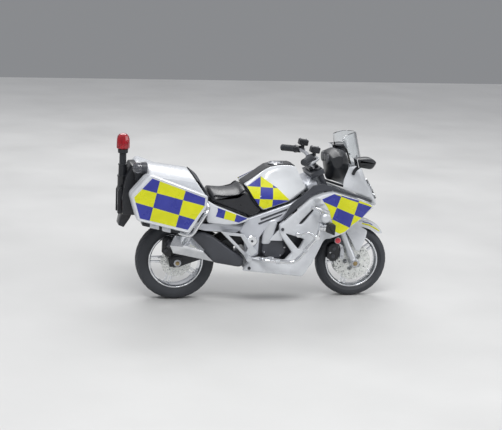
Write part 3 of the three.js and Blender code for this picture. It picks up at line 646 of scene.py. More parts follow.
def on_fork(along, ahead, left):
    return STEER_BASE + STEER_UP * along + STEER_AHEAD * ahead + Vector((0, left, 0))


def fork_block(along, ahead, left):
    """A block between two places in each of the fork's own directions."""
    low, high = left
    back, front = ahead
    ring = ((back, low), (front, low), (front, high), (back, high))
    return skinned([[tuple(on_fork(s, f, y)) for f, y in ring] for s in along])


def fork_rod(profile):
    """A solid turned about the right-hand fork leg, whose profile starts at the height of the axle."""
    return turned(profile, on_fork(0, FORK_OFFSET, -LEG_Y), on_fork(50, FORK_OFFSET, -LEG_Y), 32)


slider = fork_rod([
    (-2.6, 0), (-2.6, 1.0), (-1.9, 1.7), (-0.6, 1.75), (6.2, 1.75), (7.0, 1.45), (15.2, 1.4), (15.6, 1.75),
    (17.2, 1.75), (17.6, 1.4), (17.6, 0)])
axle_lug = pin(WHEELBASE, FRONT["radius"], -8.7, -4.4, 2.1, 0.3)
put_pair("fork_slider", joined(slider, axle_lug), SILVER, "fork", instead=["fork_leg"])
put_pair("fork_tube", fork_rod([(17.6, 0), (17.6, 1.3), (50, 1.3), (50, 0)]), DARK, "fork")
put_pair(
    "fork_dust_seal",
    fork_rod([(17.4, 1.2), (17.4, 1.6), (18.0, 1.65), (18.4, 1.45), (19.0, 1.45), (19.2, 1.2)]), BLACK,
    "fork")
caliper_outline = [
    (72.4, 19.6), (72.6, 25.2), (74.4, 26.8), (77.2, 26.6), (78.4, 23.8), (78.2, 19.8), (76.6, 18.0),
    (74.2, 18.2)]
put_pair("front_caliper", panel(rounded(caliper_outline, 0.9), -7.0, -4.0, edge=0.6), BLACK, "fork")
pistons = [pin(x, z, -7.25, -6.6, 1.0, 0.25) for x, z in ((75.2, 20.6), (75.6, 24.2))]
put_pair("front_caliper_pistons", joined(*pistons), DARK, "fork")
hanger = [(78.5, 19.2), (78.8, 24.2), (77.6, 27.0), (79.8, 26.0), (80.9, 22.6), (80.6, 18.8)]
put_pair("front_caliper_hanger", panel(rounded(hanger, 0.5), -6.8, -4.6, edge=0.4), SILVER, "fork")
bolts = [pin(x, z, -7.2, -6.6, 0.5, 0.15, 6) for x, z in ((73.8, 22.4), (79.6, 20.4), (79.4, 24.4))]
put_pair("front_caliper_bolts", joined(*bolts), "steel", "fork")
stay = [(75.6, 27.2), (75.6, 29.6), (77.4, 31.0), (80.2, 29.2), (81.4, 25.4), (79.8, 26.4)]
put_pair("reflector_bracket", panel(rounded(stay, 0.8), -6.9, -5.9, edge=0.25), DARK, "fork")
REFLECTOR = (77.1, 28.3)
put_pair("reflector_rim", turned_across(
    [(0, 1.4), (0.1, 1.5), (0.5, 1.55), (1.0, 1.55), (1.0, 1.4)], REFLECTOR[0], REFLECTOR[1], -7.7,
    -6), SILVER, "fork")
put_pair("reflector_lens", turned_across(
    [(0, 0), (0, 0.9), (0.15, 1.35), (0.9, 1.4), (0.9, 0)], REFLECTOR[0], REFLECTOR[1], -7.85,
    -6), "red_lens", "fork", finish=REFLEX)
put_pair("front_axle_nut", joined(
    pin(WHEELBASE, FRONT["radius"], -9.3, -8.6, 1.3, 0.2, 6),
    pin(WHEELBASE, FRONT["radius"], -9.7, -9.2, 0.75, 0.15)), "steel", "fork", finish=BRASS)


def fender():
    """The front fender: a crowned arch over the tyre with a flap down over each fork leg."""
    turns = [math.radians(a) for a in range(50, 136, 5)]
    arch = [(WHEELBASE + 18.4 * math.cos(a), FRONT["radius"] + 18.4 * math.sin(a)) for a in turns]
    over = rounded([(100.4, 31.8), (97.6, 35.0), (92.6, 37.6), (86.4, 38.0), (80.4, 36.6), (75.4, 33.2)], 1.6)
    middle = over[2:-2] + [(73.4, 31.4)] + arch[::-1][1:-1] + [(97.9, 31.3)]
    sections = []
    for y in (-4.55, -4.4, -3.8, -2.9, -1.5, 0, 1.5, 2.9, 3.8, 4.4, 4.55):
        drop = 1.1 * (abs(y) / 4.55) ** 3
        sections.append((y, [(x, max(z - drop, 30.9)) for x, z in middle]))
    return loft(*sections)


flap = rounded([
    (80.6, 33.6), (84.2, 27.4), (86.2, 23.2, 0.3), (88.0, 23.0, 0.3), (90.0, 27.2), (92.0, 32.6),
    (87.0, 35.4)], 0.8)
flaps = panel(
    flap, lambda x, z: -7.4 + 2.7 * smoothstep(z, 29, 35), lambda x, z: -6.6 + 2.4 * smoothstep(z, 29, 35),
    edge=0.3)
put("front_fender_shell", joined(fender(), flaps, mirrored(flaps)), WHITE, "fork", instead=["front_fender"])
stripes = (
    ("yellow", YELLOW, [
        (89.4, 36.3), (93.2, 35.4), (96.8, 33.5), (98.6, 32.1), (98.0, 32.0), (96.4, 32.9), (93.0, 34.7),
        (89.4, 35.6)]),
    ("blue", BLUE, [(89.8, 36.9), (92.8, 36.3), (94.8, 35.3), (94.6, 35.0), (92.6, 35.95), (89.8, 36.5)]))
for tint, finish, outline in stripes:
    put_pair(f"fender_stripe_{tint}", panel(outline, -4.62, -4.4, edge=0.04), WHITE, "fork", finish=finish)


# The handlebar, its controls and the mirrors
BAR_HALF = {"seat": on_fork(50.6, 1.2, -3.2), "rise": Vector((64.3, -6.4, 67.2)),
            "grip": Vector((61.8, -10.6, 69.2)), "end": Vector((55.7, -20.5, 68.4))}
GRIP_RUN = BAR_HALF["end"] - BAR_HALF["grip"]


def along_grip(share, ahead=0.0, up=0.0):
    return BAR_HALF["grip"] + GRIP_RUN * share + Vector((ahead, 0, up))


def grip():
    """A rubber grip with rings, and a collar at its inner end."""
    profile = [(0, 0), (0, 1.75), (0.5, 1.9), (0.9, 1.9), (1.1, 1.5)]
    for i in range(11):
        start = 1.2 + 0.72 * i
        profile += [(start, 1.38), (start + 0.08, 1.56), (start + 0.52, 1.56), (start + 0.6, 1.38)]
    profile += [(9.3, 1.6), (9.6, 1.6), (9.8, 1.3), (9.8, 0)]
    return turned(profile, along_grip(0.27), along_grip(1.1), 24)


def box(x0, x1, y0, y1, z0, z1):
    return slab([(x0, z0), (x1, z0), (x1, z1), (x0, z1)], y0, y1)


put_pair("handlebar_tube", joined(
    bar(list(BAR_HALF.values()), 0.95),
    knob(BAR_HALF["seat"] - STEER_UP, BAR_HALF["seat"] + STEER_UP * 1.4, 1.5)), "steel", "fork")
put_pair("handlebar_grip", grip(), "tyre_rubber", "fork")
put_pair("handlebar_weight", knob(along_grip(1.0), along_grip(1.08), 1.2, 0.3), "steel", "fork")
switch_pod = turned(
    [(0, 0), (0, 1.3), (0.3, 1.65), (2.4, 1.75), (2.8, 1.5), (2.8, 0)], along_grip(0.05), along_grip(0.3),
    20)
rocker = [knob(along_grip(s, -2.3, 0.5), along_grip(s, -1.6, 0.5), 0.42, 0.12) for s in (0.12, 0.22)]
put_pair("switch_pod", joined(switch_pod, *rocker), BLACK, "fork")
reservoir = rounded([(60.3, 71.6), (60.9, 74.3), (65.1, 73.6), (64.6, 70.9)], 0.5)
put_pair("fluid_reservoir", joined(
    loft(
        (-13.3, moved_in(reservoir, 0.5)), (-12.9, reservoir), (-9.5, reservoir),
        (-9.1, moved_in(reservoir, 0.5))), knob((62.4, -11.2, 69.2), (62.6, -11.2, 72), 0.9)), BLACK, "fork")
put_pair("reservoir_screws", [
    knob((63.0 + dx, y, 73.85 - 0.17 * dx), (63.1 + dx, y, 74.2 - 0.17 * dx), 0.32, 0.1, 12)
    for dx in (-1.5, 1.5) for y in (-12.6, -9.9)], "steel", "fork")
put_pair("hand_lever", bar([
    along_grip(0.12, 1.6, 0.2), along_grip(0.3, 4.4, -0.2), along_grip(0.7, 4.0, -0.5),
    along_grip(0.98, 3.3, -0.6)], 0.55), SILVER, "fork")
bridge = joined(fork_block((49.5, 51.2), (-1.2, 3.4), (-4.6, 4.6)), *[
    knob(on_fork(51.0, 1.1, y), on_fork(51.7, 1.1, y), 0.8, 0.15, 6) for y in (-3.0, 3.0)])
put("handlebar_bridge", bridge, BLACK, "fork", bevel=0.25, instead=["handlebar"])

mirror_side = rounded([(80.4, 66.4, 0.8), (79.3, 70.5, 0.8), (85.8, 71.0), (89.2, 69.2), (86.8, 65.4)], 1.6)
mirror_shell = loft(
    (-26.4, moved_in(mirror_side, 1.5)), (-26.0, moved_in(mirror_side, 0.8)),
    (-25.0, moved_in(mirror_side, 0.2)), (-23.0, mirror_side), (-20.0, mirror_side),
    (-18.9, moved_in(mirror_side, 0.4)), (-18.4, moved_in(mirror_side, 1.3)))
put_pair("mirror_shell", mirror_shell, BLACK, instead=["mirror"])
put_pair(
    "mirror_stalk",
    bar([(83.4, -18.8, 67.0), (83.2, -15.6, 65.2), (82.0, -13.3, 63.4), (81.4, -12.6, 61.2)], 0.85), BLACK)
put_pair(
    "mirror_glass", slab([(80.5, 66.6), (79.5, 70.4), (79.1, 70.3), (80.1, 66.5)], -25.4, -19.2), CHROME,
    bevel=0.12)


# ---- frame, engine and swingarm ----
PIVOT = (33.9, 30.0)
# The spar's recessed slots are covered with thin dark slabs: painted shade in the recesses.
SPAR_SLOTS = (
    [(37.7, 40.5), (50.4, 45.2), (50.0, 44.2), (37.9, 39.6)],
    [(36.7, 38.3), (48.2, 42.6), (47.2, 41.6), (37.1, 37.6)])
put_pair("frame_slot_shade", [slab(slot, -13.2, -12.9) for slot in SPAR_SLOTS], DARK)
put_pair("pivot_ring", turned_across(
    [(0, 1.75), (0, 2.2), (0.25, 2.5), (0.9, 2.5), (0.9, 1.75), (0, 1.75)], PIVOT[0], PIVOT[1], -14.4,
    -13), CHROME)
put_pair("pivot_bolt", joined(
    pin(PIVOT[0], PIVOT[1], -14.25, -13.4, 1.35, 0.25),
    pin(PIVOT[0], PIVOT[1], -14.5, -14.1, 0.7, 0.12, 6)), DARK)
cover_side = rounded([
    (38.8, 24.0), (39.2, 31.0), (42.2, 34.6), (46.4, 34.4), (49.2, 30.4), (50.6, 24.2), (47.0, 20.6),
    (41.0, 21.0)], 1.4)
put_pair("engine_side_cover", panel(
    cover_side, -13.4, -11.2, step=1.8, edge=0.9, relief=lambda x,
    z: 0.3 * smoothstep(math.hypot(x - 44.6, z - 26.4), 4.6, 4.0)), DARK, instead=["engine_cover"])
cover_bolts = [knob(
    (44.6 + 5.0 * math.cos(turn), -13.55, 26.6 + 4.7 * math.sin(turn)),
    (44.6 + 5.0 * math.cos(turn), -12.8, 26.6 + 4.7 * math.sin(turn)), 0.42, 0.1,
    6) for turn in (2 * math.pi * i / 7 for i in range(7))]
put_pair("engine_cover_bolts", joined(*cover_bolts), "steel")
head_side = rounded(
    [(38.6, 28.2), (39.2, 34.2), (41.8, 39.6), (45.2, 40.6), (46.0, 38.2), (44.2, 32.4), (42.6, 28.0)], 1.2)
put_pair("cylinder_head", panel(head_side, -13.9, -11.0, edge=1.0), SILVER)
# A small white triangle on the frame: a painted highlight, not a real part of the bike.
painted_highlight_outline = rounded([(47.6, 36.4), (42.0, 30.2), (48.4, 30.0)], 0.35)
put_pair("frame_painted_highlight", panel(painted_highlight_outline, -14.6, -13.5, edge=0.3), WHITE)
fins = [slab([
    (62.9, 24.2 + 1.15 * i), (63.5 + 0.14 * i, 24.2 + 1.15 * i), (63.6 + 0.14 * i, 24.6 + 1.15 * i),
    (62.9, 24.6 + 1.15 * i)], -11.6, 11.6) for i in range(16)]
put("radiator_fins", joined(*fins), DARK)
hub_cover = rounded([(-3.0, 17.8), (-3.4, 20.6), (-1.2, 22.0), (2.2, 21.4), (2.6, 18.4), (0.8, 17.0)], 0.9)
put_pair("swingarm_hub_cover", panel(hub_cover, -8.7, -7.9, edge=0.4), BLACK)
put_pair("rear_axle_nut", joined(
    pin(0, REAR["radius"], -9.6, -8.6, 1.05, 0.2, 6),
    pin(0, REAR["radius"], -10.0, -9.4, 0.6, 0.15)), "steel", finish=BRASS)
put("rear_caliper_pistons", [pin(x, z, -8.5, -7.6, 0.9, 0.25) for x, z in ((-5.6, 24.6), (-5.2, 28.0))], DARK)
rear_hanger = rounded([(-3.3, 25.2), (-3.0, 30.6), (-1.2, 30.2), (-1.5, 25.8)], 0.4)
put("rear_caliper_bracket", panel(rear_hanger, -8.9, -7.2, edge=0.4), SILVER)


# ---- tank, seat and side covers ----
TANK_TOP = [
    (30.8, 55.4, 0.5), (34.2, 57.6), (38.6, 60.8), (42.0, 63.1), (47.0, 64.3), (53.4, 64.3), (59.0, 62.4),
    (62.6, 60.2), (66.0, 57.2, 0.8)]
TANK_LOW = [(64.0, 56.0), (56.2, 51.7), (51.5, 48.2), (38.6, 43.8)]
BUTTON_X = 47.0
STEER_ROOM = fork_block((33, 60), (-7, 14), (-10.2, 10.2))


def tank_out(x, z):
    """The right-hand face of the tank, which draws in towards its top and its nose."""
    return -(14.0 - 6.2 * smoothstep(z, 49.5, 62.5) - 2.0 * smoothstep(x, 56, 66))


half_tank = carved(
    panel(rounded(TANK_TOP + TANK_LOW, 2.0), tank_out, 0.0, step=1.6, edge=2.6),
    STEER_ROOM, fork_block((38.6, 46.4), (-6.6, 14), (-12.6, 12.6)),
    box(38.0, 52.6, -9.4, 9.4, 38, 55.6), knob((BUTTON_X, 0, 58), (BUTTON_X, 0, 70), 3.0))
put_pair("fuel_tank_half", half_tank, "white_metal")
for side in ("right", "left"):
    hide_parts("fuel_tank")
crown = [(x, z) for x, z, *_ in TANK_TOP]
console = rounded([(x, z + 0.3) for x, z in crown] + [(x, z - 0.8) for x, z in crown[::-1]], 0.3, 2)
put("tank_console", carved(
    slab(console, -5.0, 5.0), knob((BUTTON_X, 0, 58), (BUTTON_X, 0, 70), 3.3),
    STEER_ROOM), BLACK, bevel=0.2)
put("filler_ring", turned(
    [(0, 2.95), (0, 3.7), (0.35, 3.9), (0.7, 3.7), (0.8, 2.95), (0, 2.95)], (BUTTON_X, 0, 64.0),
    (BUTTON_X, 0, 70)), CHROME)
put("filler_screws", [knob(
    (BUTTON_X + 3.32 * math.cos(turn), 3.32 * math.sin(turn), 64.5),
    (BUTTON_X + 3.32 * math.cos(turn), 3.32 * math.sin(turn), 64.95), 0.25, 0.06,
    10) for turn in (math.pi * i / 3 for i in range(6))], "steel")
put_decal(
    "tank_checker", [
        (31.2, 55.3), (38.1, 59.6), (43.4, 56.0), (45.4, 54.7), (50.9, 49.4), (50.2, 48.8), (43.2, 46.4),
        (38.8, 45.2), (36.6, 46.8), (34.0, 50.4)], tank_out,
    [((38.1, 59.9), (36.5, 46.4)), ((43.5, 56.1), (42.8, 46.2))],
    [((30.7, 55.5), (45.4, 54.6)), ((34.0, 50.0), (50.9, 49.2))])

SEAT_TOP = [(14.2, 49.4), (15.0, 53.2), (21.4, 52.8), (27.2, 53.0), (30.1, 55.2), (31.2, 54.2)]
SEAT_LOW = [(38.0, 43.8), (33.4, 41.3), (16.6, 47.8)]
SEAT_EDGE = [(14.6, 48.8), (16.2, 50.8), (21.4, 50.2), (27.2, 50.8), (30.0, 53.4), (31.0, 52.8)]
put("rider_seat", arched(SEAT_TOP + SEAT_LOW, SEAT_EDGE + SEAT_LOW, 12.9, 1.5, 0.7), "seat_plastic",
    instead=["seat"])
piping = [(x, -11.7, z + 0.1) for x, z in mixed(SEAT_EDGE, SEAT_TOP, 0.2)[1:]]
put_pair("seat_piping", bar([(15.6, -11.5, 49.6), *piping, (36.6, -12.4, 46.2)], 0.26, 1.4, 10), BLACK)
cover_outline = rounded([
    (12.4, 49.2), (16.2, 47.0), (31.2, 41.0), (32.4, 40.6), (30.4, 39.2), (26.4, 38.0), (21.0, 37.8),
    (12.8, 38.9), (12.2, 40.0)], 0.7)
put_pair("side_cover_shell", panel(cover_outline, -14.9, -13.2, step=2, edge=0.6), WHITE,
         instead=["side_cover"])
put_decal(
    "side_checker", [(17.0, 46.0), (31.2, 40.9), (27.2, 39.0), (25.6, 39.4), (16.2, 41.9), (17.1, 44.4)],
    -14.9, [((21.0, 45.7), (20.0, 40.8)), ((26.1, 43.7), (25.0, 39.4))], [])


# ---- fairing, cowl and cockpit ----
PANEL_REAR = ((64.2, 50.8), (68.2, 44.0), (70.6, 34.6))  # the rear edge of the raised front of the fairing


def ahead_of_edge(x, z):
    """How far a place on the fairing lies ahead of the rear edge of its raised front."""
    (x0, z0), (x1, z1), (x2, z2) = PANEL_REAR
    edge = x0 + (x1 - x0) * (z - z0) / (z1 - z0) if z > z1 else x1 + (x2 - x1) * (z - z1) / (z2 - z1)
    return x - edge


def fairing_out(x, z):
    shoulder = smoothstep(ahead_of_edge(x, z), -3.4, -0.6) * smoothstep(z, 27, 33)
    return -(16.4 + 2.6 * shoulder - 5.6 * smoothstep(x, 76, 93))


def fairing_in(x, z):
    return -(14.0 - 2.3 * smoothstep(x, 76, 93))


ARM = stretches([(46.8, 37.6), (60.4, 49.4), (61.8, 50.3)])[:2]
FAIRING = [
    (46.4, 37.9, 0.4), (61.3, 50.8, 3), (66.0, 52.7), (71.2, 53.6), (76.1, 52.2), (84.0, 49.6),
    (91.6, 46.6, 0.6), (92.0, 45.2, 0.6), (86.2, 40.6), (79.8, 37.0), (77.0, 34.2), (72.4, 32.6),
    (68.0, 30.8), (63.2, 20.4), (58.2, 13.2), (44.0, 14.8), (29.7, 16.4, 0.3), (33.2, 22.0, 0.6),
    (36.4, 22.6), (49.6, 21.0, 0.8), (52.9, 24.6, 0.8), (46.6, 33.4)]
VENT = [(55.5, 38.3), (56.6, 39.9), (63.0, 46.7), (64.0, 46.6), (58.6, 39.8), (57.0, 38.2)]
WINDOW = [(49.2, 33.9), (58.6, 31.1), (56.0, 26.0)]


def fairing_relief(x, z):
    """The rolled upper rim of the arm, and a crease along the belly."""
    rim = 0.55 * smoothstep(distance(ARM, x, z), 2.6, 1.4)
    belly = 0.4 * smoothstep(z + 0.1 * x, 22.6, 21.6) * smoothstep(x, 66, 60)
    return rim + belly


fairing_shell = panel(
    rounded(FAIRING, 1.6), fairing_out, fairing_in, [rounded(VENT, 0.5), rounded(WINDOW, 0.9)], step=2.0,
    edge=0.7, relief=fairing_relief)
put_pair("fairing_shell", fairing_shell, WHITE, instead=["fairing"])
put_pair("fairing_vent", slab(moved_in(VENT, -0.8), -14.9, -14.1), BLACK)
SCREWS = ((32.4, 17.7), (47.6, 36.0))
put_pair("fairing_screws", [joined(
    turned_across([(0, 0), (0, 0.5), (0.1, 0.75), (0.5, 0.75), (0.5, 0)], x, z, -17.2, -16, 20),
    box(x - 0.5, x + 0.5, -17.3, -17.0, z - 0.1, z + 0.1)) for x, z in SCREWS], DARK)
put_decal(
    "fairing_checker", [
        (65.3, 50.6), (71.0, 53.1), (75.1, 52.2), (83.5, 49.6), (90.2, 46.9), (91.2, 46.0), (90.2, 44.8),
        (86.2, 41.2), (80.4, 38.0), (79.0, 36.8), (77.0, 35.2), (74.6, 34.2), (71.9, 35.4), (71.2, 38.0),
        (69.5, 43.5), (68.2, 46.5)], fairing_out,
    [((74.4, 51.9), (70.7, 41.5)), ((84.0, 50.0), (79.6, 37.4))],
    [((74.3, 51.9), (84.1, 48.3)), ((66.7, 49.1), (86.0, 40.9)), ((70.0, 41.4), (77.9, 37.6))],
    blue_first=False)

COWL_SIDE = [(79.6, 65.2), (84.6, 62.0), (86.2, 58.0), (89.8, 53.3), (91.6, 51.0), (91.9, 49.6), (88.0, 50.8),
             (83.0, 52.3), (77.0, 54.2), (77.0, 58.0)]
COWL_MIDDLE = [
    (84.2, 64.9), (87.4, 63.4), (89.6, 58.0), (92.6, 52.8), (95.2, 46.8), (95.6, 44.6), (93.2, 44.6),
    (89.8, 48.2), (85.6, 55.4), (83.2, 60.0)]
LAMP = [(90.0, 58.2), (92.9, 53.2), (95.0, 48.8), (92.6, 48.2), (89.0, 55.6)]


def cowl_at(y):
    return mixed(rounded(COWL_MIDDLE, 1.2, 3), rounded(COWL_SIDE, 1.2, 3), (abs(y) / 12.2) ** 4)


cowl_ys = [12.2 * math.sin(i * math.pi / 20) for i in range(-10, 11)]
cowl = loft((-12.3, moved_in(cowl_at(12.2), 0.4)), *[(y, cowl_at(y)) for y in cowl_ys],
            (12.3, moved_in(cowl_at(12.2), 0.4)))
put("front_cowl_shell", carved(cowl, slab(moved_in(LAMP, -0.3), -8.4, 8.4)), WHITE,
    instead=["front_cowl"])
lens_line = [(90.0, 58.0), (92.8, 53.1), (94.9, 48.8)]
lens_outline = lens_line + [(x - 0.6, z - 0.25) for x, z in lens_line[::-1]]
put("headlamp_cover", loft(
    (-8.1, moved_in(lens_outline, 0.15)), (-7.8, lens_outline), (7.8, lens_outline),
    (8.1, moved_in(lens_outline, 0.15))), "clear_plastic", instead=["headlamp_lens"])
put(
    "headlamp_housing",
    slab([(89.0, 56.6), (91.6, 51.9), (93.0, 48.3), (92.6, 48.2), (89.0, 55.6)], -8.2, 8.2), SILVER)
for side, y in (("right", -4.0), ("left", 4.0)):
    bowl = [(0, 0), (0.1, 1.2), (0.6, 2.0), (1.3, 2.5), (1.3, 2.7), (0, 2.7), (-0.3, 0)]
    put(f"headlamp_bowl_{side}", turned(bowl, (91.1, y, 52.4), (92.0, y, 52.9), 28), CHROME)
    put(f"headlamp_bulb_{side}", knob((91.2, y, 52.45), (92.3, y, 53.05), 0.7, 0.3), SILVER)

SCREEN = {"low": 65.9, "high": 79.6, "half": 12.0, "depth": 8.0, "nose": 88.4, "thick": 0.8}


def windscreen():
    """A curved sheet, leaned back and narrowed towards its rounded top."""
    across, up = 32, 14
    rings = []
    for j in range(up + 1):
        t = j / up
        ring = []
        for shrink, turns in ((0, range(across + 1)), (SCREEN["thick"], range(across, -1, -1))):
            for i in turns:
                u = 2 * i / across - 1
                top = SCREEN["high"] - 2.2 * abs(u) ** 5
                rise = (top - SCREEN["low"]) * t
                y = u * (SCREEN["half"] - shrink * 0.6) * (1 - 0.3 * t * t)
                ring.append((
                    SCREEN["nose"] - shrink - SCREEN["depth"] * u * u - 3.2 * t, y, SCREEN["low"] + rise))
        rings.append(ring)
    return skinned(rings)


put("windscreen_sheet", windscreen(), "clear_plastic", crease=50, instead=["windscreen"])
put("windscreen_screws", [knob(
    (SCREEN["nose"] - SCREEN["depth"] * (y / 12) ** 2 - 0.4, y, 67.3),
    (SCREEN["nose"] - SCREEN["depth"] * (y / 12) ** 2 + 0.35, y, 67.3), 0.45, 0.12,
    12) for y in (-7.5, -3.2, 3.2, 7.5)], BLACK)


def cockpit_at(y):
    """The side outline of the instrument hood at y."""
    share = (abs(y) / HOOD_HALF) ** 2
    middle = [
        (71.8, 56.6), (71.2, 64.4), (70.6, 69.4), (74.6, 71.9), (80.2, 70.2), (82.4, 65.3), (82.0, 59.6),
        (79.0, 55.4)]
    end = [
        (73.4, 63.4), (71.6, 65.8), (71.4, 68.4), (75.2, 69.4), (76.8, 68.6), (76.8, 66.3), (76.6, 65.0),
        (75.0, 64.0)]
    return mixed(middle, end, share)


HOOD_HALF = 10.2
hood_ys = [HOOD_HALF * math.sin(i * math.pi / 16) for i in range(-8, 9)]
put("instrument_hood", loft(*[(y, rounded(cockpit_at(y), 1.2, 3)) for y in hood_ys]), BLACK,
    instead=["instrument_panel"])
DIALS = ((-4.4, 1.95), (4.4, 1.95), (0.0, 1.3))  # y and radius
DIAL_Z = 67.0
DIAL_MARKS = 9
dial_faces, dial_rings, dial_marks = [], [], []
for y, radius in DIALS:
    dial_faces.append(knob((70.75, y, DIAL_Z), (72.0, y, DIAL_Z), radius, 0.1, 36))
    dial_rings.append(turned([
        (0, radius), (0, radius + 0.25), (0.2, radius + 0.35), (0.7, radius + 0.35), (0.7, radius),
        (0, radius)], (70.5, y, DIAL_Z), (72, y, DIAL_Z), 36))
    for i in range(DIAL_MARKS):
        turn = math.radians(-30 + 30 * i)
        here = Vector((70.72, y - math.cos(turn) * radius * 0.76, DIAL_Z + math.sin(turn) * radius * 0.76))
        dial_marks.append(knob(here, here + Vector((0.2, 0, 0)), 0.13, 0.03, 8))
put("dial_faces", joined(*dial_faces), BLACK)
put("dial_rings", joined(*dial_rings), DARK)
put("dial_marks", joined(*dial_marks), WHITE)
put(
    "dial_needles",
    [bar([(70.66, y, DIAL_Z), (70.66, y - 0.5 * r, DIAL_Z + 0.5 * r)], 0.09, sides=6) for y, r in DIALS],
    "red_lens")


# ---- luggage, radio box and tail ----
PANNIER_FACE = [(-15.5, 61.9), (8.9, 52.7), (8.6, 49.2), (1.4, 38.2), (-20.5, 43.7), (-23.2, 53.2)]
PANNIER_INNER = [(-17.0, 62.6), (9.8, 53.2), (10.6, 49.6), (2.4, 37.4), (-21.6, 42.6), (-24.8, 53.6)]


def pannier():
    """A tapered case with a bevelled rim and the seam of its lid."""
    face = rounded(moved_in(PANNIER_FACE, -0.55), 0.9)
    rim_line = rounded(moved_in(PANNIER_FACE, -1.5), 1.5)
    inner = rounded(PANNIER_INNER, 1.8)
    sections = [
        (-26.8, moved_in(face, 0.3)), (-26.8, face), (-27.0, moved_in(face, -0.2)),
        (-26.9, moved_in(face, -0.45)), (-25.9, moved_in(rim_line, 0.12)), (-25.4, rim_line),
        (-24.8, mixed(rim_line, inner, 0.05))]
    for y, sunk in (
        (-21.3, 0), (-21.2, 0.45), (-20.6, 0.45), (-20.5, 0), (-17.6, 0), (-15.9, 0.1), (-15.3, 0.8)):
        sections.append((y, moved_in(mixed(rim_line, inner, (25.2 + y) / 9.9), sunk)))
    return loft(*sections)


put_pair("pannier_case", pannier(), WHITE, instead=["pannier"])
put_decal(
    "pannier_checker", [(-15.3, 61.9), (8.9, 52.9), (8.6, 49.2), (1.3, 38.4), (-20.5, 43.8), (-23.3, 53.3)],
    -26.8, [((-11.9, 60.8), (-16.0, 43.1)), ((-0.1, 56.7), (-4.2, 39.8))],
    [((-19.9, 57.1), (8.3, 49.4)), ((-22.5, 51.0), (3.9, 43.2))])
latches = [panel(rounded(outline, 0.35), -23.0, -20.0, edge=0.3) for outline in (
    [(-15.4, 40.7), (-11.3, 39.8), (-11.0, 37.5), (-15.2, 38.5)],
    [(-9.8, 39.2), (-5.9, 38.2), (-5.8, 36.1), (-9.6, 37.0)])]
put_pair("pannier_latches", joined(*latches), SILVER)
GUARD = [(11.6, -15.6, 48.6), (11.4, -22.4, 47.4), (9.9, -24.4, 45.4), (4.1, -24.4, 35.8), (2.5, -23.6, 34.9),
         (-1.4, -22.4, 35.7), (-1.6, -14.6, 36.2)]
put_pair("pannier_guard_bar", bar(GUARD, 0.85, 1.6), CHROME, instead=["pannier_guard"])
inner_guard = [(x - 1.6, y + 0.3, z + 0.6) for x, y, z in GUARD[2:5]]
put_pair("pannier_guard_rail", bar([(9.6, -24.0, 46.0), *inner_guard, (0.6, -22.6, 36.4)], 0.4, 1.2), CHROME)
put_pair(
    "pannier_rail", slab([(-18.8, 41.0), (-0.6, 37.0), (-1.0, 35.3), (-18.6, 39.2)], -21.6, -16.2), BLACK,
    bevel=0.3)

BOX_HALF = 14.9
BOX_END = [(-18.6, 45.6), (-18.6, 56.6), (-14.6, 61.2), (6.8, 58.2), (12.2, 50.4), (11.8, 44.6)]
BOX_MIDDLE = [(-18.6, 45.6), (-18.6, 59.0), (-14.2, 64.8), (4.6, 62.2), (11.8, 51.0), (11.8, 44.6)]
TRIM_END = [(7.2, 58.6), (9.0, 57.5), (11.4, 54.1), (13.4, 50.9), (12.6, 50.4)]
TRIM_MIDDLE = [(5.0, 62.4), (8.6, 59.6), (11.0, 55.4), (13.4, 50.6), (12.3, 50.9)]
put("radio_box_shell", arched(BOX_MIDDLE, BOX_END, BOX_HALF, 1.0, 0.5), WHITE,
    instead=["radio_box"])
put("radio_box_front", arched(TRIM_MIDDLE, TRIM_END, 13.4, 0.4, 0.3), DARK,
    instead=["radio_box_trim"])
STROBE = [Vector((x, -12.4, 64.1)) for x in (-22.4, -18.6, -15.9)]
put(
    "strobe_shell",
    turned([(0, 0), (0, 2.5), (0.4, 2.75), (2.4, 2.75), (2.8, 2.2), (2.8, 0)], STROBE[1], STROBE[2], 28),
    DARK)
put(
    "strobe_lens",
    turned([(0, 0), (0.1, 1.1), (0.6, 2.0), (1.4, 2.6), (3.9, 2.75), (3.9, 0)], STROBE[0], STROBE[2], 28),
    "clear_plastic", finish=SMOKE)
put("strobe_core", turned(
    [(0, 0), (0, 0.5), (1.8, 0.6), (3.0, 2.2), (3.0, 0)], STROBE[0] + Vector((0.8, 0, 0)), STROBE[2],
    20), SILVER)
put(
    "strobe_bracket",
    slab(rounded([(-21.0, 58.2), (-21.4, 61.8), (-15.6, 61.8), (-16.6, 60.2)], 0.4), -13.6, -9.0), BLACK,
    bevel=0.2)
bracket = rounded([(-27.8, 41.2), (-27.8, 51.4), (-27.0, 53.4), (-25.8, 53.4), (-25.8, 41.2)], 0.4)
put_pair("mast_bracket", slab(bracket, -4.2, -2.9), BLACK, bevel=0.2)
MAST_X = -25.3
put("beacon_mast_tube", turned(
    [
        (0, 0), (0, 2.3), (13.2, 2.25), (13.5, 2.45), (14.1, 2.45), (14.3, 1.95), (18.6, 1.9), (18.8, 2.1),
        (19.4, 2.1), (19.6, 1.6), (24.2, 1.6), (24.5, 2.3), (26.2, 2.4), (26.4, 2.1), (26.4, 0)],
    (MAST_X, 0, 44.6), (MAST_X, 0, 80), 36), BLACK, instead=["beacon_mast"])
put("beacon_dome", turned(
    [
        (0, 0), (0, 2.9), (0.3, 3.05), (2.0, 3.08), (4.5, 2.95), (5.8, 2.55), (6.6, 1.8), (6.95, 0.9),
        (7.0, 0)], (MAST_X, 0, 71.1), (MAST_X, 0, 80),
    12), "red_lens", crease=20, bevel=0.1, instead=["beacon_lens"])
put("beacon_core", knob((MAST_X, 0, 70.9), (MAST_X, 0, 73.6), 1.5, 0.4), BLACK)


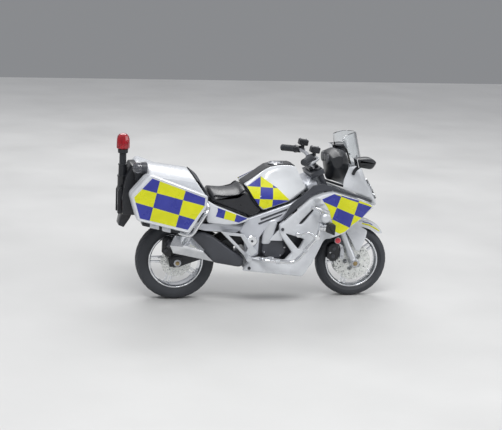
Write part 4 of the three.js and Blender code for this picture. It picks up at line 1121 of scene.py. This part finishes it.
# ---- exhausts, footrests and bars ----
MUFFLER = [(-2.4, 32.9), (5.8, 32.0), (11.6, 26.0), (16.0, 20.3), (-2.9, 24.6), (-4.6, 28.2)]
MUFFLER_RIDGE = [(1.2, 28.8), (3.6, 28.5), (10.4, 26.1), (11.2, 25.2), (1.5, 27.7), (0.9, 28.2)]
muffler = loft((-16.8, MUFFLER_RIDGE), (-14.0, MUFFLER), (-10.2, MUFFLER), (-8.4, moved_in(MUFFLER, 1.8)))
put_pair("muffler", muffler, CHROME, bevel=0.18, crease=20, instead=["exhaust"])
tip = turned(
    [(0, 0), (0, 1.0), (-1.2, 1.3), (-1.4, 1.7), (0, 1.9), (1.5, 1.9), (1.5, 0)], (-4.2, -12.2, 28.6),
    (-3.0, -12.2, 28.2), 24)
put_pair("muffler_tip", tip, DARK)
shield = rounded([
    (4.4, 32.4), (9.4, 34.4), (15.4, 32.4), (24.4, 25.8), (30.2, 22.2), (30.2, 18.6), (28.6, 17.4),
    (16.0, 19.8), (12.4, 24.6)], 1.6)
put_pair("exhaust_shield", panel(shield, -14.2, -9.0, step=1.8, edge=1.2), DARK)
peg = [(0, 0), (0, 1.2), (0.4, 1.45), (0.8, 1.45), (0.9, 1.1)]
for i in range(6):
    peg += [(1.2 + i, 1.15), (1.3 + i, 1.38), (1.8 + i, 1.38), (1.9 + i, 1.15)]
put_pair(
    "footrest_rubber",
    turned(peg + [(7.4, 1.3), (7.6, 0.9), (7.6, 0)], (31.4, -16.0, 23.6), (30.9, -23.6, 23.4), 20), SILVER)
put_pair(
    "brake_pedal",
    bar([(33.6, -16.6, 22.4), (38.0, -17.2, 21.6), (41.4, -19.4, 23.4), (42.4, -21.6, 23.6)], 0.5, 1.5),
    SILVER)
CRASH = [
    (60.6, -18.2, 46.6), (64.0, -21.4, 46.2), (64.9, -22.0, 43.8), (63.4, -22.0, 34.0), (54.2, -21.8, 22.8),
    (52.0, -21.4, 21.2), (38.6, -20.6, 22.2), (37.6, -17.2, 22.2)]
put_pair("crash_bar_hoop", bar(CRASH, 0.85, 2.6, 18), CHROME, instead=["crash_bar"])
put_pair("crash_bar_branch", joined(
    bar([(62.6, -22.0, 33.0), (59.2, -21.2, 35.6), (54.8, -19.0, 33.6)], 0.6, 1.5),
    pin(62.9, 33.2, -22.9, -21.1, 1.25, 0.2), pin(54.9, 33.6, -18.6, -16.4, 1.2, 0.2)), CHROME)
put_pair("crash_bar_clamps", [
    knob(Vector(place) - Vector(way) * 0.8, Vector(place) + Vector(way) * 0.8, 1.15, 0.2) for place,
    way in (
        ((64.5, -22.0, 41.2), (0.16, 0, 1)), ((57.6, -21.9, 26.9), (0.64, 0, 0.77)),
        ((45.0, -21.0, 21.7), (1, 0, -0.07)))], SILVER)
horn = turned(
    [(0, 0), (0, 1.7), (0.3, 2.0), (1.2, 2.0), (1.4, 1.6), (1.7, 1.6), (1.9, 2.0), (2.8, 2.0), (2.8, 0)],
    (63.2, -23.6, 38.6), (66.4, -23.6, 38.3), 24)
put(
    "siren_body",
    joined(horn, bar([(61.6, -22.4, 47.2), (64.8, -23.4, 46.4), (67.8, -23.4, 45.4)], 0.6, 1)), CHROME,
    instead=["siren_right"])
put("siren_dome", turned_across(
    [(0, 0), (0, 1.6), (0.5, 2.2), (1.2, 2.4), (3.6, 2.4), (4.2, 2.0), (4.2, 0)], 66.1, 42.6, -25.4, -21.0,
    28), SILVER)
mouth = rounded([(66.0, 36.6), (66.2, 40.8), (70.6, 39.8), (70.2, 34.9)], 0.4)
put(
    "siren_mouth",
    loft((-26.2, moved_in(mouth, 0.4)), (-25.9, mouth), (-21.0, mouth), (-20.6, moved_in(mouth, 0.4))),
    BLACK)


# ---- floor, light and camera ----
def area_light(name, place, target, size, power):
    data = bpy.data.lights.new(name, "AREA")
    data.shape = "RECTANGLE"
    data.size, data.size_y = size
    data.energy = power
    light = bpy.data.objects.new(name, data)
    light.location = place
    light.rotation_euler = (Vector(target) - Vector(place)).to_track_quat("-Z", "Y").to_euler()
    bpy.context.scene.collection.objects.link(light)


FLOOR_HALF = 900
floor = bpy.data.objects.new("floor", bpy.data.meshes.new("floor"))
floor.data.from_pydata(
    [(x * FLOOR_HALF * MM, y * FLOOR_HALF * MM, -0.02 * MM) for x, y in ((-1, -1), (1, -1), (1, 1), (-1, 1))],
    [], [(0, 1, 2, 3)])
floor.data.materials.append(FLOOR)
bpy.context.scene.collection.objects.link(floor)

middle = (cad_low + cad_high) / 2
area_light("key", (-0.10, -0.35, 0.55), middle, (0.35, 0.25), 2.1)
area_light("fill", (0.45, -0.30, 0.25), middle, (0.30, 0.30), 0.7)
area_light("rim", (0.05, 0.45, 0.45), middle, (0.50, 0.20), 1.4)
world = bpy.data.worlds.new("studio")
world.use_nodes = True
tree = world.node_tree
sky = tree.nodes.new("ShaderNodeTexCoord").outputs["Generated"]
height = tree.nodes.new("ShaderNodeSeparateXYZ")
shade = tree.nodes.new("ShaderNodeValToRGB")
tree.links.new(sky, height.inputs["Vector"])
tree.links.new(height.outputs["Z"], shade.inputs["Fac"])
tree.links.new(shade.outputs["Color"], tree.nodes["Background"].inputs["Color"])
shade.color_ramp.elements[0].color = (0.42, 0.43, 0.45, 1)
shade.color_ramp.elements[1].position = 0.6
shade.color_ramp.elements[1].color = (0.95, 0.96, 1.0, 1)
tree.nodes["Background"].inputs["Strength"].default_value = 0.60
bpy.context.scene.world = world
bpy.context.scene.view_settings.view_transform = "Standard"

camera_data = bpy.data.cameras.new("camera")
camera_data.sensor_width = 36
camera_data.lens = 104.3
camera_data.clip_end = 20
camera = bpy.data.objects.new("camera", camera_data)
right = Vector((0.9776, -0.2069, 0.0378))
upright = Vector((0.0057, 0.2055, 0.9786))
turn = Matrix((right, upright, right.cross(upright))).transposed().to_4x4()
camera.matrix_world = Matrix.Translation(Vector((REAR_X * MM - 0.1085, -0.6575, 0.1783))) @ turn
bpy.context.scene.collection.objects.link(camera)
bpy.context.scene.camera = camera
